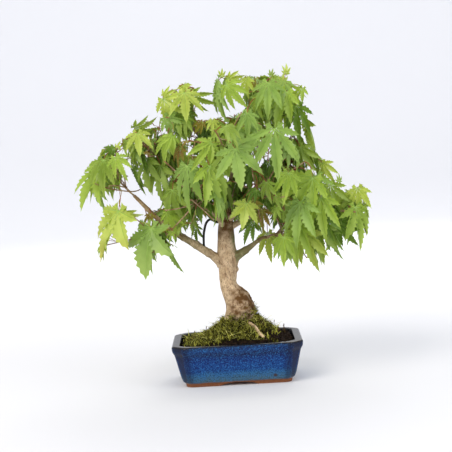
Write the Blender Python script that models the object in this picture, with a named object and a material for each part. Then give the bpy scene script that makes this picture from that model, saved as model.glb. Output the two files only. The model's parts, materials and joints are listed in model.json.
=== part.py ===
"""A small Japanese maple bonsai in a glazed, cut-cornered pot.

Every size in the tables is in millimetres, in a frame on the ground under the middle of the pot:
X to the right, Y away from the front, Z up. The plant is then moved as a whole, so that the
origin lies on the ground under the middle of its outer box.
"""

import math
import random

import bmesh
import bpy
import numpy as np
from mathutils import Matrix, Vector, noise
from mathutils.bvhtree import BVHTree

MM = 0.001
GAP = 0.3  # clear space between two touching solids

# The pot: a tapered box with cut corners on a low foot ring.
POT_LENGTH = 129.5
POT_WIDTH = 96.0
POT_HEIGHT = 41.5
CORNER_CUT = 12.0
LEAST_CUT = 4.0
CORNER_ROUND = 1.6
WALL_TOP = 8.0
FOOT_HEIGHT = 3.4
# (height, inset from the rim's outer edge) from the foot's inner edge, round the outside, to the floor
POT_PROFILE = (
    (FOOT_HEIGHT, 20.5),
    (0.0, 19.8),
    (0.0, 12.8),
    (FOOT_HEIGHT, 12.0),
    (5.0, 9.6),
    (10.0, 7.7),
    (32.0, 2.6),
    (35.8, 0.5),
    (40.0, 0.0),
    (POT_HEIGHT, 1.4),
    (POT_HEIGHT, WALL_TOP),
    (9.0, 16.5),
)
FLOOR_HEIGHT = 8.2
FLOOR_INSET = 19.0
FRONT_ARCH = 34.0
SIDE_ARCH = 24.0
ARCH_RISE = 3.0
DRAIN_RADIUS = 4.5
DRAIN_SPACING = 54.0

# The filling: soil to the ground level, and a mound of moss round the trunk.
GROUND = 35.0
MOSS_EDGE = 2.5
MOSS_PEAK = 27.0
MOSS_SPREAD = 21.0
MOSS_BUMP = 1.8
MOSS_SECTORS = 24
MOSS_RINGS = 5

# The trunk: (x, y, height, radius) from the flat cut at the ground to the tip of the leader.
TRUNK_STATIONS = (
    (6.0, 0.0, GROUND + GAP, 23.0),
    (5.6, 0.0, 47.0, 19.5),
    (5.0, 0.5, 60.0, 16.0),
    (4.6, 1.0, 70.0, 14.4),
    (2.2, 1.5, 80.0, 12.6),
    (-2.2, 2.0, 89.5, 10.9),
    (-4.8, 2.4, 100.0, 8.9),
    (-4.9, 2.2, 112.0, 9.6),
    (-4.6, 1.5, 122.0, 10.4),
    (-4.9, 0.5, 136.0, 8.9),
    (-4.9, -0.5, 147.0, 8.3),
    (-4.2, -1.0, 157.0, 7.4),
    (-3.0, -1.0, 166.0, 5.6),
    (-1.5, -0.5, 177.0, 4.6),
    (2.4, 0.5, 192.0, 3.8),
    (6.5, 2.0, 208.0, 3.3),
    (13.0, 2.0, 230.0, 2.5),
    (22.0, 1.0, 250.0, 1.8),
)
TRUNK_SIDES = 13
TRUNK_RINGS = 25
FINE_RINGS = 120
FLARE_TOP = 72.0
FLARE_DEPTH = 0.13
FLARE_LOBES = 5
CUTTER_DEPTH = 5.0

# Roots that show: (direction in degrees, reach, drop in height, radius at the trunk, radius at the tip)
ROOTS = (
    (-58.0, 37.0, 24.0, 4.2, 1.5),
    (-150.0, 27.0, 20.0, 5.0, 2.0),
    (25.0, 27.0, 20.0, 5.0, 2.2),
    (130.0, 26.0, 20.0, 5.0, 2.2),
)
ROOT_TOP = 54.0
ROOT_INSIDE = 4.0  # a root starts this far out from the trunk's middle
ROOT_RINGS = 6

# Limbs: name, what it grows from, where on it (a height on the trunk, a share of a bough's length),
# the points that it bends through, and its radius at the foot and at the tip. A limb ends short of
# the middle of its mass of foliage.
LIMBS = (
    ("left_bough", "trunk", 115.0, ((-37.0, -2.0, 138.0), (-66.0, -3.0, 159.5)), 5.2, 1.6),
    ("left_spur", "left_bough", 0.52, (), 1.9, 1.3),
    ("left_upper_bough", "trunk", 156.0, ((-34.0, 2.0, 192.0),), 3.0, 1.5),
    ("upper_left_bough", "trunk", 186.0, ((-13.0, 0.0, 222.0),), 2.6, 1.4),
    ("front_left_bough", "trunk", 150.0, ((-15.0, -16.0, 168.0),), 2.6, 1.4),
    ("right_bough", "trunk", 119.0, ((14.0, -4.0, 129.5), (29.0, -7.0, 140.0)), 4.0, 1.5),
    ("right_far_bough", "trunk", 153.0, ((42.0, 4.0, 168.0),), 3.0, 1.5),
    ("front_right_bough", "trunk", 160.0, ((14.0, -16.0, 172.0),), 2.6, 1.4),
    ("right_slope_bough", "trunk", 172.0, ((36.0, 2.0, 196.0),), 2.8, 1.4),
    ("front_upper_bough", "trunk", 184.0, ((3.0, -16.0, 202.0),), 2.4, 1.4),
    ("back_left_bough", "trunk", 162.0, ((-18.0, 18.0, 176.0),), 2.8, 1.4),
    ("back_right_bough", "trunk", 168.0, ((22.0, 18.0, 180.0),), 2.8, 1.4),
    ("back_upper_bough", "trunk", 190.0, ((5.0, 16.0, 206.0),), 2.4, 1.4),
    ("back_low_bough", "trunk", 145.0, ((0.0, 20.0, 154.0),), 2.8, 1.4),
)
TIP_SHARE = 0.5
BOUGH_SIDES = 6
SPUR_SIDES = 5
RING_SPACING = 13.0

# The black training wire between the trunk and the left bough, and its radius.
WIRE_ROUTE = (
    (-6.0, -2.0, 158.0), (-13.5, -2.6, 159.0), (-19.5, -3.2, 162.0), (-23.8, -3.4, 159.0),
    (-26.2, -3.0, 152.0), (-27.4, -2.6, 145.0), (-27.8, -2.4, 130.0),
)
WIRE_RADIUS = 1.2
WIRE_RINGS = 14

# Masses of foliage: name, limb, middle of its space, half sizes of its space, shoots, leaves, seed.
MASSES = (
    ("far_left_foliage", "left_bough", (-110.0, 0.0, 207.0), (42.0, 52.0, 44.0), 8, 13, 4),
    ("left_hanging_foliage", "left_spur", (-90.0, -14.0, 152.0), (50.0, 46.0, 46.0), 8, 12, 7),
    ("left_upper_foliage", "left_upper_bough", (-74.0, 2.0, 236.0), (46.0, 60.0, 44.0), 9, 14, 1),
    ("upper_left_foliage", "upper_left_bough", (-38.0, 0.0, 264.0), (44.0, 56.0, 46.0), 9, 15, 14),
    ("top_foliage", "trunk", (34.0, 0.0, 266.0), (56.0, 58.0, 52.0), 12, 22, 6),
    ("right_slope_foliage", "right_slope_bough", (68.0, 0.0, 220.0), (38.0, 58.0, 56.0), 9, 14, 4),
    ("far_right_foliage", "right_far_bough", (106.0, 4.0, 167.0), (42.0, 50.0, 48.0), 8, 12, 5),
    ("right_low_foliage", "right_bough", (58.0, -14.0, 148.0), (52.0, 48.0, 46.0), 8, 14, 6),
    ("front_left_foliage", "front_left_bough", (-40.0, -46.0, 188.0), (54.0, 54.0, 60.0), 9, 16, 10),
    ("front_right_foliage", "front_right_bough", (42.0, -48.0, 196.0), (54.0, 52.0, 56.0), 9, 15, 3),
    ("front_upper_foliage", "front_upper_bough", (2.0, -54.0, 238.0), (58.0, 52.0, 52.0), 9, 15, 13),
    ("back_left_foliage", "back_left_bough", (-50.0, 52.0, 200.0), (54.0, 52.0, 58.0), 9, 15, 6),
    ("back_upper_foliage", "back_upper_bough", (4.0, 54.0, 244.0), (56.0, 50.0, 52.0), 9, 14, 10),
    ("back_right_foliage", "back_right_bough", (58.0, 50.0, 196.0), (54.0, 52.0, 58.0), 9, 15, 4),
    ("back_low_foliage", "back_low_bough", (4.0, 54.0, 162.0), (50.0, 46.0, 42.0), 6, 8, 10),
)

# Twigs and leaves of one mass.
TWIG_SIDES = 3
STEM_RINGS = 4
STEM_RADII = (1.5, 1.1)
SHOOT_RADII = (1.1, 0.8)
PETIOLE_RADIUS = 0.55
STEM_REACH = 0.75
SHOOT_REACH = 0.72
PLACE_TRIES = 40
LEAF_PAIR_SHARES = (1.0, 0.8, 0.6, 0.4, 0.2)
BLADE_LENGTHS = (26.0, 46.0)
PETIOLE_SHARE = (0.25, 0.5)
LEAST_BACKING = 0.2  # a stalk comes from behind its blade: cosine of the widest bend between them
LEAF_TRIES = 100
HUB_THICKNESS = 1.3
SPACE_MARGIN = 0.25
LIMB_MARGIN = 0.6
# Lobes of a blade: direction in degrees from its axis, and length as a share of the blade's
LOBES = ((-84.0, 0.62), (-42.0, 0.9), (0.0, 1.0), (42.0, 0.9), (84.0, 0.62))
NOTCH_SHARE = 0.42
BASE_ANGLE = 155.0
BASE_SHARE = 0.06

COLOURS = {
    "pot": ((0.02, 0.08, 0.32), 0.25),
    "soil": ((0.05, 0.035, 0.02), 0.95),
    "moss": ((0.17, 0.2, 0.03), 0.95),
    "bark": ((0.42, 0.31, 0.2), 0.85),
    "wire": ((0.02, 0.02, 0.02), 0.5),
    "leaf": ((0.22, 0.42, 0.05), 0.55),
}


def clear_scene():
    """Removes whatever the open file holds."""
    for obj in list(bpy.data.objects):
        bpy.data.objects.remove(obj)


def material(name):
    """A plain Principled material from the table of colours."""
    found = bpy.data.materials.get(name)
    if found:
        return found
    colour, roughness = COLOURS[name]
    made = bpy.data.materials.new(name)
    made.use_nodes = True
    shader = made.node_tree.nodes["Principled BSDF"]
    shader.inputs["Base Color"].default_value = (*colour, 1.0)
    shader.inputs["Roughness"].default_value = roughness
    shader.inputs["Metallic"].default_value = 0.0
    return made


def unit(v):
    """A vector of length one."""
    v = np.asarray(v, float)
    return v / np.linalg.norm(v)


def new_object(name, points, faces, finish):
    """A mesh object from points in millimetres, with its faces turned outwards."""
    mesh = bpy.data.meshes.new(name)
    mesh.from_pydata([Vector(p) * MM for p in points], [], faces)
    bm = bmesh.new()
    bm.from_mesh(mesh)
    bmesh.ops.recalc_face_normals(bm, faces=bm.faces)
    bm.to_mesh(mesh)
    bm.free()
    mesh.materials.append(material(finish))
    obj = bpy.data.objects.new(name, mesh)
    bpy.context.scene.collection.objects.link(obj)
    return obj


def smooth(obj, degrees=40.0):
    """Smooth shading with the corners kept sharp."""
    obj.data.shade_smooth()
    obj.data.set_sharp_from_angle(angle=math.radians(degrees))


def copy_of(obj):
    """A copy with its own mesh, to cut with."""
    made = obj.copy()
    made.data = obj.data.copy()
    return made


def apply_modifiers(obj):
    """Replaces an object's mesh by what its modifiers make of it."""
    graph = bpy.context.evaluated_depsgraph_get()
    made = bpy.data.meshes.new_from_object(obj.evaluated_get(graph))
    obj.modifiers.clear()
    obj.data = made


def boolean(obj, operation, others, solver="EXACT"):
    """Joins or cuts an object by several others at once, then removes those."""
    group = bpy.data.collections.new(obj.name + "_operands")
    bpy.context.scene.collection.children.link(group)
    for other in others:
        group.objects.link(other)
    modifier = obj.modifiers.new(operation.title(), "BOOLEAN")
    modifier.operation = operation
    modifier.operand_type = "COLLECTION"
    modifier.collection = group
    modifier.solver = solver
    apply_modifiers(obj)
    for other in others:
        bpy.data.objects.remove(other)
    bpy.data.collections.remove(group)


def loft(rings, triangles=False):
    """Points and faces of a closed skin over rings that have the same number of points."""
    count = len(rings[0])
    points = [p for ring in rings for p in ring]
    faces = []
    for i in range(len(rings) - 1):
        for j in range(count):
            k = (j + 1) % count
            a, b = i * count + j, i * count + k
            c, d = b + count, a + count
            faces += [(a, b, c), (a, c, d)] if triangles else [(a, b, c, d)]
    faces.append(tuple(range(count))[::-1])
    faces.append(tuple(range((len(rings) - 1) * count, len(rings) * count)))
    return points, faces


def curve_through(stations, count):
    """Evenly spaced points on a smooth curve through the stations, in all their columns."""
    stations = np.array(stations, float)
    padded = np.vstack([2 * stations[0] - stations[1], stations, 2 * stations[-1] - stations[-2]])
    fine = []
    steps = 16
    for i in range(1, len(padded) - 2):
        before, here, after, beyond = padded[i - 1:i + 3]
        for t in np.arange(steps) / steps:
            fine.append(0.5 * (2 * here + (after - before) * t
                               + (2 * before - 5 * here + 4 * after - beyond) * t ** 2
                               + (3 * here - before - 3 * after + beyond) * t ** 3))
    fine.append(stations[-1])
    fine = np.array(fine)
    along = np.concatenate([[0], np.cumsum(np.linalg.norm(np.diff(fine[:, :3], axis=0), axis=1))])
    wanted = np.linspace(0, along[-1], count)
    return np.array([np.interp(wanted, along, fine[:, k]) for k in range(fine.shape[1])]).T


def tube_rings(path, radii, sides, shape=None, flat_foot=False):
    """Rings of points round a path. shape(height, angle) scales the radius."""
    path = np.array(path, float)
    tangents = np.gradient(path, axis=0)
    tangents /= np.linalg.norm(tangents, axis=1)[:, None]
    if flat_foot:
        tangents[0] = (0, 0, 1)
    side = np.cross(tangents[0], (0.0, 1.0, 0.0))
    if np.linalg.norm(side) < 0.2:
        side = np.cross(tangents[0], (1.0, 0.0, 0.0))
    rings = []
    for centre, tangent, radius in zip(path, tangents, radii):
        side = side - tangent * (side @ tangent)
        side /= np.linalg.norm(side)
        other = np.cross(tangent, side)
        ring = []
        for k in range(sides):
            angle = 2 * math.pi * k / sides
            scale = shape(centre[2], angle) if shape else 1.0
            ring.append(centre + (side * math.cos(angle) + other * math.sin(angle)) * radius * scale)
        rings.append(ring)
    return rings


def cut_corner_outline(inset):
    """The pot's plan, this far in from the rim's outer edge: a rectangle with cut, eased corners."""
    half_length = POT_LENGTH / 2 - inset
    half_width = POT_WIDTH / 2 - inset
    cut = max(LEAST_CUT, CORNER_CUT - inset * (2 - math.sqrt(2)))
    ease = min(CORNER_ROUND, cut * 0.4)
    corners = [
        (half_length, -half_width + cut), (half_length, half_width - cut),
        (half_length - cut, half_width), (-half_length + cut, half_width),
        (-half_length, half_width - cut), (-half_length, -half_width + cut),
        (-half_length + cut, -half_width), (half_length - cut, -half_width),
    ]
    outline = []
    for i, corner in enumerate(corners):
        corner = Vector(corner)
        before = (Vector(corners[i - 1]) - corner).normalized() * ease
        after = (Vector(corners[(i + 1) % 8]) - corner).normalized() * ease
        middle = (before + after) * 0.28
        outline += [corner + before, corner + middle, corner + after]
    return outline


def pot_ring(height, inset):
    """One level of the pot's plan."""
    return [(p.x, p.y, height) for p in cut_corner_outline(inset)]


def cylinder(name, radius, length, axis, centre, squash=1.0, sides=20):
    """A closed cylinder along an axis of the frame, flattened to squash times its height."""
    turn = {"X": Matrix.Rotation(math.pi / 2, 4, "Y"),
            "Y": Matrix.Rotation(math.pi / 2, 4, "X"),
            "Z": Matrix.Identity(4)}[axis]
    points = []
    for end in (-length / 2, length / 2):
        for k in range(sides):
            angle = 2 * math.pi * k / sides
            p = turn @ Vector((radius * math.cos(angle), radius * math.sin(angle), end))
            points.append((p.x + centre[0], p.y + centre[1], p.z * squash + centre[2]))
    faces = [(k, (k + 1) % sides, sides + (k + 1) % sides, sides + k) for k in range(sides)]
    faces += [tuple(range(sides))[::-1], tuple(range(sides, 2 * sides))]
    return new_object(name, points, faces, "pot")


def build_pot():
    """The glazed pot, with arches between its feet and two drain holes."""
    rings = [pot_ring(height, inset) for height, inset in POT_PROFILE]
    rings.append(pot_ring(FLOOR_HEIGHT, FLOOR_INSET))
    pot = new_object("pot", *loft(rings), "pot")
    arches = [
        cylinder("front_arch", FRONT_ARCH / 2, POT_WIDTH * 1.2, "Y", (0, 0, 0),
                 ARCH_RISE / (FRONT_ARCH / 2)),
        cylinder("side_arch", SIDE_ARCH / 2, POT_LENGTH * 1.2, "X", (0, 0, 0),
                 ARCH_RISE / (SIDE_ARCH / 2)),
    ]
    drains = [
        cylinder("drain", DRAIN_RADIUS, 3 * FLOOR_HEIGHT, "Z", (side * DRAIN_SPACING / 2, 0, FLOOR_HEIGHT))
        for side in (-1, 1)
    ]
    boolean(pot, "DIFFERENCE", arches + drains)
    smooth(pot, 30.0)
    return pot


def inner_wall(height, clear):
    """The plan of the pot's inner wall at a height, moved inwards to leave it clear."""
    (top, top_inset), (low, low_inset) = POT_PROFILE[-2:]
    share = (top - height) / (top - low)
    upper = cut_corner_outline(top_inset + clear)
    lower = cut_corner_outline(low_inset + clear)
    return [a.lerp(b, share) for a, b in zip(upper, lower)]


def build_soil():
    """The root ball's soil, filling the pot to the ground level."""
    rings = [pot_ring(FLOOR_HEIGHT + GAP, FLOOR_INSET + 1.0)]
    for height in (FLOOR_HEIGHT + 1.2, GROUND):
        rings.append([(p.x, p.y, height) for p in inner_wall(height, GAP * 1.2)])
    soil = new_object("soil", *loft(rings), "soil")
    smooth(soil, 30.0)
    return soil


def moss_height(x, y):
    """The moss's top over the ground: a mound at the trunk, with small bumps."""
    foot_x, foot_y = TRUNK_STATIONS[0][:2]
    distance = math.hypot(x - foot_x, y - foot_y)
    mound = MOSS_PEAK * math.exp(-((distance / MOSS_SPREAD) ** 2) * 0.42)
    bump = MOSS_BUMP * noise.noise(Vector((x * 0.11, y * 0.11, 3.0)))
    return MOSS_EDGE + mound + bump * min(1.0, distance / MOSS_SPREAD)


def build_moss(trunk_cutter):
    """The mound of moss on the soil, cut clear of the trunk and its roots."""
    foot_x, foot_y = TRUNK_STATIONS[0][:2]
    edge = inner_wall(GROUND, GAP * 2.5)
    reach = []
    for k in range(MOSS_SECTORS):
        angle = 2 * math.pi * k / MOSS_SECTORS
        ray = Vector((math.cos(angle), math.sin(angle)))
        longest = min(
            ray_to_edge(Vector((foot_x, foot_y)), ray, edge[i - 1], edge[i]) for i in range(len(edge))
        )
        reach.append((ray, longest))
    base = GROUND + GAP
    rings = [[(foot_x + r.x * d, foot_y + r.y * d, base) for r, d in reach]]
    for i in range(MOSS_RINGS, 0, -1):
        share = (i / MOSS_RINGS) ** 1.25
        ring = []
        for ray, longest in reach:
            x, y = foot_x + ray.x * longest * share, foot_y + ray.y * longest * share
            ring.append((x, y, base + moss_height(x, y)))
        rings.append(ring)
    moss = new_object("moss", *loft(rings), "moss")
    boolean(moss, "DIFFERENCE", [trunk_cutter])
    smooth(moss, 50.0)
    return moss


def ray_to_edge(start, ray, a, b):
    """How far along a ray it crosses the line from a to b, or a long way if it doesn't."""
    along = b - a
    cross = ray.x * along.y - ray.y * along.x
    if abs(cross) < 1e-9:
        return 1e6
    to_a = a - start
    distance = (to_a.x * along.y - to_a.y * along.x) / cross
    share = (to_a.x * ray.y - to_a.y * ray.x) / cross
    return distance if distance > 0 and -1e-6 <= share <= 1 + 1e-6 else 1e6


def flare(height, angle):
    """The trunk's ribs over its roots, which fade out upwards."""
    share = max(0.0, min(1.0, (FLARE_TOP - height) / (FLARE_TOP - GROUND)))
    burl = 0.05 * math.exp(-(((height - 86.0) / 9.0) ** 2)) * max(0.0, math.cos(angle - 0.4))
    return 1.0 + FLARE_DEPTH * share * math.cos(FLARE_LOBES * angle + 0.6) + burl


def trunk_path(count):
    """Places and radii up the trunk."""
    stations = curve_through(TRUNK_STATIONS, count)
    return stations[:, :3], stations[:, 3]


def trunk_solid(name, grown=0.0):
    """The trunk with its roots. grown widens it on all sides, for a cutter."""
    path, radii = trunk_path(TRUNK_RINGS)
    rings = tube_rings(path, radii + grown, TRUNK_SIDES, flare, flat_foot=True)
    if grown:
        rings.insert(0, [p - (0.0, 0.0, CUTTER_DEPTH) for p in rings[0]])
    trunk = new_object(name, *loft(rings, triangles=True), "bark")
    boolean(trunk, "UNION", [root_solid(i, grown) for i in range(len(ROOTS))])
    return trunk


def root_solid(index, grown):
    """One root, from inside the trunk's foot down over the ground and into it."""
    heading, reach, drop, thick, thin = ROOTS[index]
    foot_x, foot_y = TRUNK_STATIONS[1][:2]
    ray = np.array((math.cos(math.radians(heading)), math.sin(math.radians(heading)), 0.0))
    start = np.array((foot_x, foot_y, ROOT_TOP)) + ray * ROOT_INSIDE
    shares = np.linspace(0, 1, ROOT_RINGS)
    lowest = GROUND + GAP + thin * 1.3
    path = [start + ray * (reach - ROOT_INSIDE) * s for s in shares]
    for p, s in zip(path, shares):
        p[2] = max(ROOT_TOP - drop * s ** 0.85, lowest)
    radii = thick + (thin - thick) * shares + grown
    rings = tube_rings(path, radii, SPUR_SIDES)
    return new_object(f"root_{index}", *loft(rings, triangles=True), "bark")


def limb_paths():
    """Each limb's places and radii, the trunk's first, by name."""
    paths = {"trunk": trunk_path(FINE_RINGS)}
    for name, parent, where, bends, thick, thin in LIMBS:
        places, _ = paths[parent]
        if parent == "trunk":
            start = places[np.argmin(np.abs(places[:, 2] - where))]
        else:
            start = places[round(where * (len(places) - 1))]
        centre, size = next(mass[2:4] for mass in MASSES if mass[1] == name)
        way = unit(np.subtract(centre, bends[-1] if bends else start))
        stations = [start, *bends, centre - way * TIP_SHARE * np.mean(size)]
        length = sum(math.dist(a, b) for a, b in zip(stations, stations[1:]))
        path = curve_through(stations, max(4, round(length / RING_SPACING)))
        share = np.linspace(0, 1, len(path))
        paths[name] = (path, thick + (thin - thick) * share ** 0.8)
    return paths


def build_limb(limb, paths, trunk_cutter):
    """One bough, cut clear of what it grows from."""
    name, parent = limb[:2]
    path, radii = paths[name]
    sides = SPUR_SIDES if "spur" in name else BOUGH_SIDES
    bough = new_object(name, *loft(tube_rings(path, radii, sides)), "bark")
    if parent == "trunk":
        cutter = copy_of(trunk_cutter)
    else:
        places, widths = paths[parent]
        cutter = new_object("parent_copy", *loft(tube_rings(places, widths + GAP, BOUGH_SIDES)), "bark")
    boolean(bough, "DIFFERENCE", [cutter])
    smooth(bough, 50.0)
    return bough


def build_wire(paths, trunk_cutter):
    """The short training wire, cut clear of the trunk and of the bough that it bends down."""
    path = curve_through(WIRE_ROUTE, WIRE_RINGS)
    wire = new_object("training_wire", *loft(tube_rings(path, np.full(WIRE_RINGS, WIRE_RADIUS), 6)), "wire")
    places, widths = paths["left_bough"]
    bough = new_object("bough_copy", *loft(tube_rings(places, widths + GAP, BOUGH_SIDES)), "bark")
    boolean(wire, "DIFFERENCE", [bough, copy_of(trunk_cutter)])
    keep_largest(wire)
    smooth(wire, 50.0)
    return wire


def keep_largest(obj):
    """Keeps the largest surface, which drops loose scraps and fills any hollow that is sealed."""
    bm = bmesh.new()
    bm.from_mesh(obj.data)
    left = set(bm.verts)
    pieces = []
    while left:
        piece = {left.pop()}
        edge = list(piece)
        while edge:
            near = {e.other_vert(v) for v in edge for e in v.link_edges} & left
            left -= near
            piece |= near
            edge = list(near)
        pieces.append(piece)
    pieces.sort(key=len)
    for piece in pieces[:-1]:
        bmesh.ops.delete(bm, geom=list(piece), context="VERTS")
    bm.to_mesh(obj.data)
    bm.free()


def blade_outline():
    """The blade's outline as rows of angle and share of its length: its lobes and notches, from one
    side of its foot to the other."""
    outline = [(-BASE_ANGLE, BASE_SHARE)]
    for i, (angle, share) in enumerate(LOBES):
        outline.append((angle, share))
        if i + 1 < len(LOBES):
            outline.append((0.5 * (angle + LOBES[i + 1][0]), NOTCH_SHARE))
    outline.append((BASE_ANGLE, BASE_SHARE))
    return np.array(outline)


OUTLINE = blade_outline()
BLADE_FACES = 2 * (len(OUTLINE) - 1)


def blade_points(leaf):
    """The blade's outline in space. A lobe bends away from the upper side by the droop at its tip."""
    angle, share = np.radians(OUTLINE[:, 0]), OUTLINE[:, 1]
    out = share * leaf["length"]
    flat = np.outer(out * np.cos(angle), leaf["axis"]) + np.outer(out * np.sin(angle), leaf["across"])
    return leaf["hub"] + flat - np.outer(leaf["droop"] * leaf["length"] * share ** 1.8, leaf["normal"])


def leaf_mesh(leaf):
    """Points and faces of one leaf: a blade with sharp edges, thickest at its hub, on a three-sided
    stalk that ends inside the twig."""
    hub, foot = leaf["hub"], leaf["foot"]
    outline = blade_points(leaf)
    last = len(outline) - 1
    top, under, keel = last + 1, last + 2, last + 3
    middle = 0.5 * (outline[0] + outline[last])
    down = unit(foot - middle)
    side = unit(leaf["across"] - down * (leaf["across"] @ down))
    below = np.cross(down, side)
    half = leaf["normal"] * HUB_THICKNESS / 2
    points = [*outline, hub + half, hub - half, middle + below * PETIOLE_RADIUS * 1.6]
    points += [foot - side * PETIOLE_RADIUS, foot + side * PETIOLE_RADIUS,
               foot + below * PETIOLE_RADIUS * 1.5]
    faces = [(top, i, i + 1) for i in range(last)]
    faces += [(under, i + 1, i) for i in range(last)]
    faces += [(top, last, 0), (under, 0, keel), (under, keel, last)]
    ring, end = (0, last, keel), (keel + 1, keel + 2, keel + 3)
    for a in range(3):
        b = (a + 1) % 3
        faces += [(ring[a], ring[b], end[b]), (ring[a], end[b], end[a])]
    faces.append(end)
    return np.array(points), faces


def tree_of(points, faces):
    """A search tree of triangles, to find what crosses them."""
    return BVHTree.FromPolygons([tuple(p) for p in points], faces)


def tube_tree(tubes, sides):
    """A search tree of many tubes, each a path with its radii."""
    points, faces = [], []
    for path, radii in tubes:
        more, skin = loft(tube_rings(path, radii, sides))
        faces += [tuple(i + len(points) for i in face) for face in skin]
        points += more
    return tree_of(points, faces)


def in_space(points, index, centres, sizes):
    """Whether all points lie in a mass's own space: inside its oval, and nearer to its middle than
    to any other mass's, by distance squared less the mass's mean size squared."""
    own = (points - centres[index]) / sizes[index]
    if (np.einsum("ij,ij->i", own, own) > 1.0).any():
        return False
    mean = sizes.mean(axis=1)
    power = ((points[:, None, :] - centres[None]) ** 2).sum(axis=2) - mean ** 2
    apart = np.linalg.norm(centres - centres[index], axis=1)
    short = power - power[:, [index]] - 2 * SPACE_MARGIN * apart
    short[:, index] = 1.0
    return bool((short > 0).all())


def bent_line(start, heading, end, count):
    """A line that leaves start along heading and bends over to end."""
    start, end = np.array(start, float), np.array(end, float)
    knee = start + unit(heading) * np.linalg.norm(end - start) * 0.45
    t = np.linspace(0, 1, count)[:, None]
    return (1 - t) ** 2 * start + 2 * t * (1 - t) * knee + t ** 2 * end


def free_place(index, ends, centres, sizes, rng):
    """A place in a mass's space for a shoot to end at: of a few at random, the one furthest from the
    ends that are there."""
    best, most = centres[index], -1.0
    for _ in range(PLACE_TRIES):
        place = np.array([rng.uniform(-1, 1) for _ in range(3)])
        if np.linalg.norm(place) > 1.0:
            continue
        place = centres[index] + place * sizes[index] * SHOOT_REACH
        room = min(np.linalg.norm(place - end) for end in ends)
        if room > most and in_space(place[None], index, centres, sizes):
            best, most = place, room
    return best


def grow_twigs(index, paths, centres, sizes, walls, rng):
    """The stem of a mass and the shoots along it. A shoot that would leave the space or touch a limb
    is skipped."""
    limb, shoot_count = MASSES[index][1], MASSES[index][4]
    centre, size = centres[index], sizes[index]
    places = paths[limb][0]
    heading = unit(places[-1] - places[-2])
    stem = bent_line(places[-1] + heading * GAP, heading,
                     places[-1] + (centre - places[-1]) * STEM_REACH, STEM_RINGS)
    twigs = [(stem, np.linspace(*STEM_RADII, STEM_RINGS))]
    ends = [stem[-1]]
    for _ in range(shoot_count):
        target = free_place(index, ends, centres, sizes, rng)
        foot = stem[1 + round(rng.random() * 2)]
        shoot = np.array([foot, target])
        radii = np.array(SHOOT_RADII)
        if not in_space(shoot[1:], index, centres, sizes):
            continue
        if tube_tree([(shoot, radii)], TWIG_SIDES).overlap(walls):
            continue
        twigs.append((shoot, radii))
        ends.append(target)
    return twigs


def grow(index, paths, centres, sizes, walls):
    """The twigs and leaves of one mass, by its seed: leaves in pairs along its shoots, from the tips
    back to the stem."""
    leaf_count, seed = MASSES[index][5:]
    rng = random.Random(seed)
    twigs = grow_twigs(index, paths, centres, sizes, walls, rng)
    own = tube_tree(twigs, TWIG_SIDES)
    leaves, taken = [], ([], [])
    for share in LEAF_PAIR_SHARES:
        for path, _ in twigs[1:] + twigs[:1]:
            along = unit(path[-1] - path[-2])
            at = share * (len(path) - 1)
            low = min(int(at), len(path) - 2)
            foot = path[low] + (path[low + 1] - path[low]) * (at - low) * 0.97
            side = unit(np.cross(along, (rng.gauss(0, 0.3), rng.gauss(0, 0.3), 1.0)))
            for hand in (-1, 1):
                leaf = place_leaf(rng, foot, along, side * hand, index, centres, sizes,
                                  (walls, own, tree_of(*taken)))
                if not leaf or len(leaves) >= leaf_count:
                    continue
                points, faces = leaf_mesh(leaf)
                taken[1].extend(tuple(i + len(taken[0]) for i in face) for face in faces)
                taken[0].extend(points)
                leaves.append(leaf)
    return twigs, leaves


def place_leaf(rng, foot, along, side, index, centres, sizes, others):
    """Tries a leaf at a foot on a twig, smaller each time, until it has room, or gives None."""
    centre = centres[index]
    walls, own, taken = others
    longest = rng.uniform(0.75, 1.0) * BLADE_LENGTHS[1]
    for attempt in range(LEAF_TRIES):
        late = attempt / LEAF_TRIES
        length = longest + (BLADE_LENGTHS[0] - longest) * late
        jitter = np.array([rng.gauss(0, 0.3 + 0.9 * late) for _ in range(3)])
        stalk = unit(along * 0.5 * (1 - late) + side * (0.9 - 0.5 * late) + np.array((0, 0, 0.35)) + jitter)
        hub = foot + stalk * length * rng.uniform(*PETIOLE_SHARE)
        outward = unit((hub - centre) * (1, 1, 0.3) + centre * (0.35, 0.35, 0.0))
        hang = np.array((0, 0, rng.uniform(0.35, 1.5)))
        axis = unit(stalk * (0.6, 0.6, 0.1) + outward * 0.4 * (1 - 1.5 * late) - hang)
        up = outward * 0.8 + np.array((0, 0, 0.8)) + jitter * 0.5
        if stalk @ axis < LEAST_BACKING:
            continue
        normal = unit(up - axis * (up @ axis))
        leaf = {"foot": foot, "hub": hub, "axis": axis, "normal": normal,
                "across": np.cross(normal, axis), "length": length, "droop": rng.uniform(0.06, 0.3)}
        points, faces = leaf_mesh(leaf)
        if not in_space(points[:-3], index, centres, sizes):
            continue
        if tree_of(points, faces[:BLADE_FACES]).overlap(own):
            continue
        whole = tree_of(points, faces)
        if not whole.overlap(walls) and not whole.overlap(taken):
            return leaf
    return None


def build_mass(index, paths, centres, sizes, walls):
    """One mass of foliage as a single solid: its twigs and leaves, joined."""
    name = MASSES[index][0]
    twigs, leaves = grow(index, paths, centres, sizes, walls)
    parts = [new_object(f"{name}_twig_{i}", *loft(tube_rings(path, radii, TWIG_SIDES)), "leaf")
             for i, (path, radii) in enumerate(twigs)]
    parts += [new_object(f"{name}_leaf_{i}", *leaf_mesh(leaf), "leaf") for i, leaf in enumerate(leaves)]
    mass = parts[0]
    mass.name = name
    boolean(mass, "UNION", parts[1:], "MANIFOLD")
    keep_largest(mass)
    return mass


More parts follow.
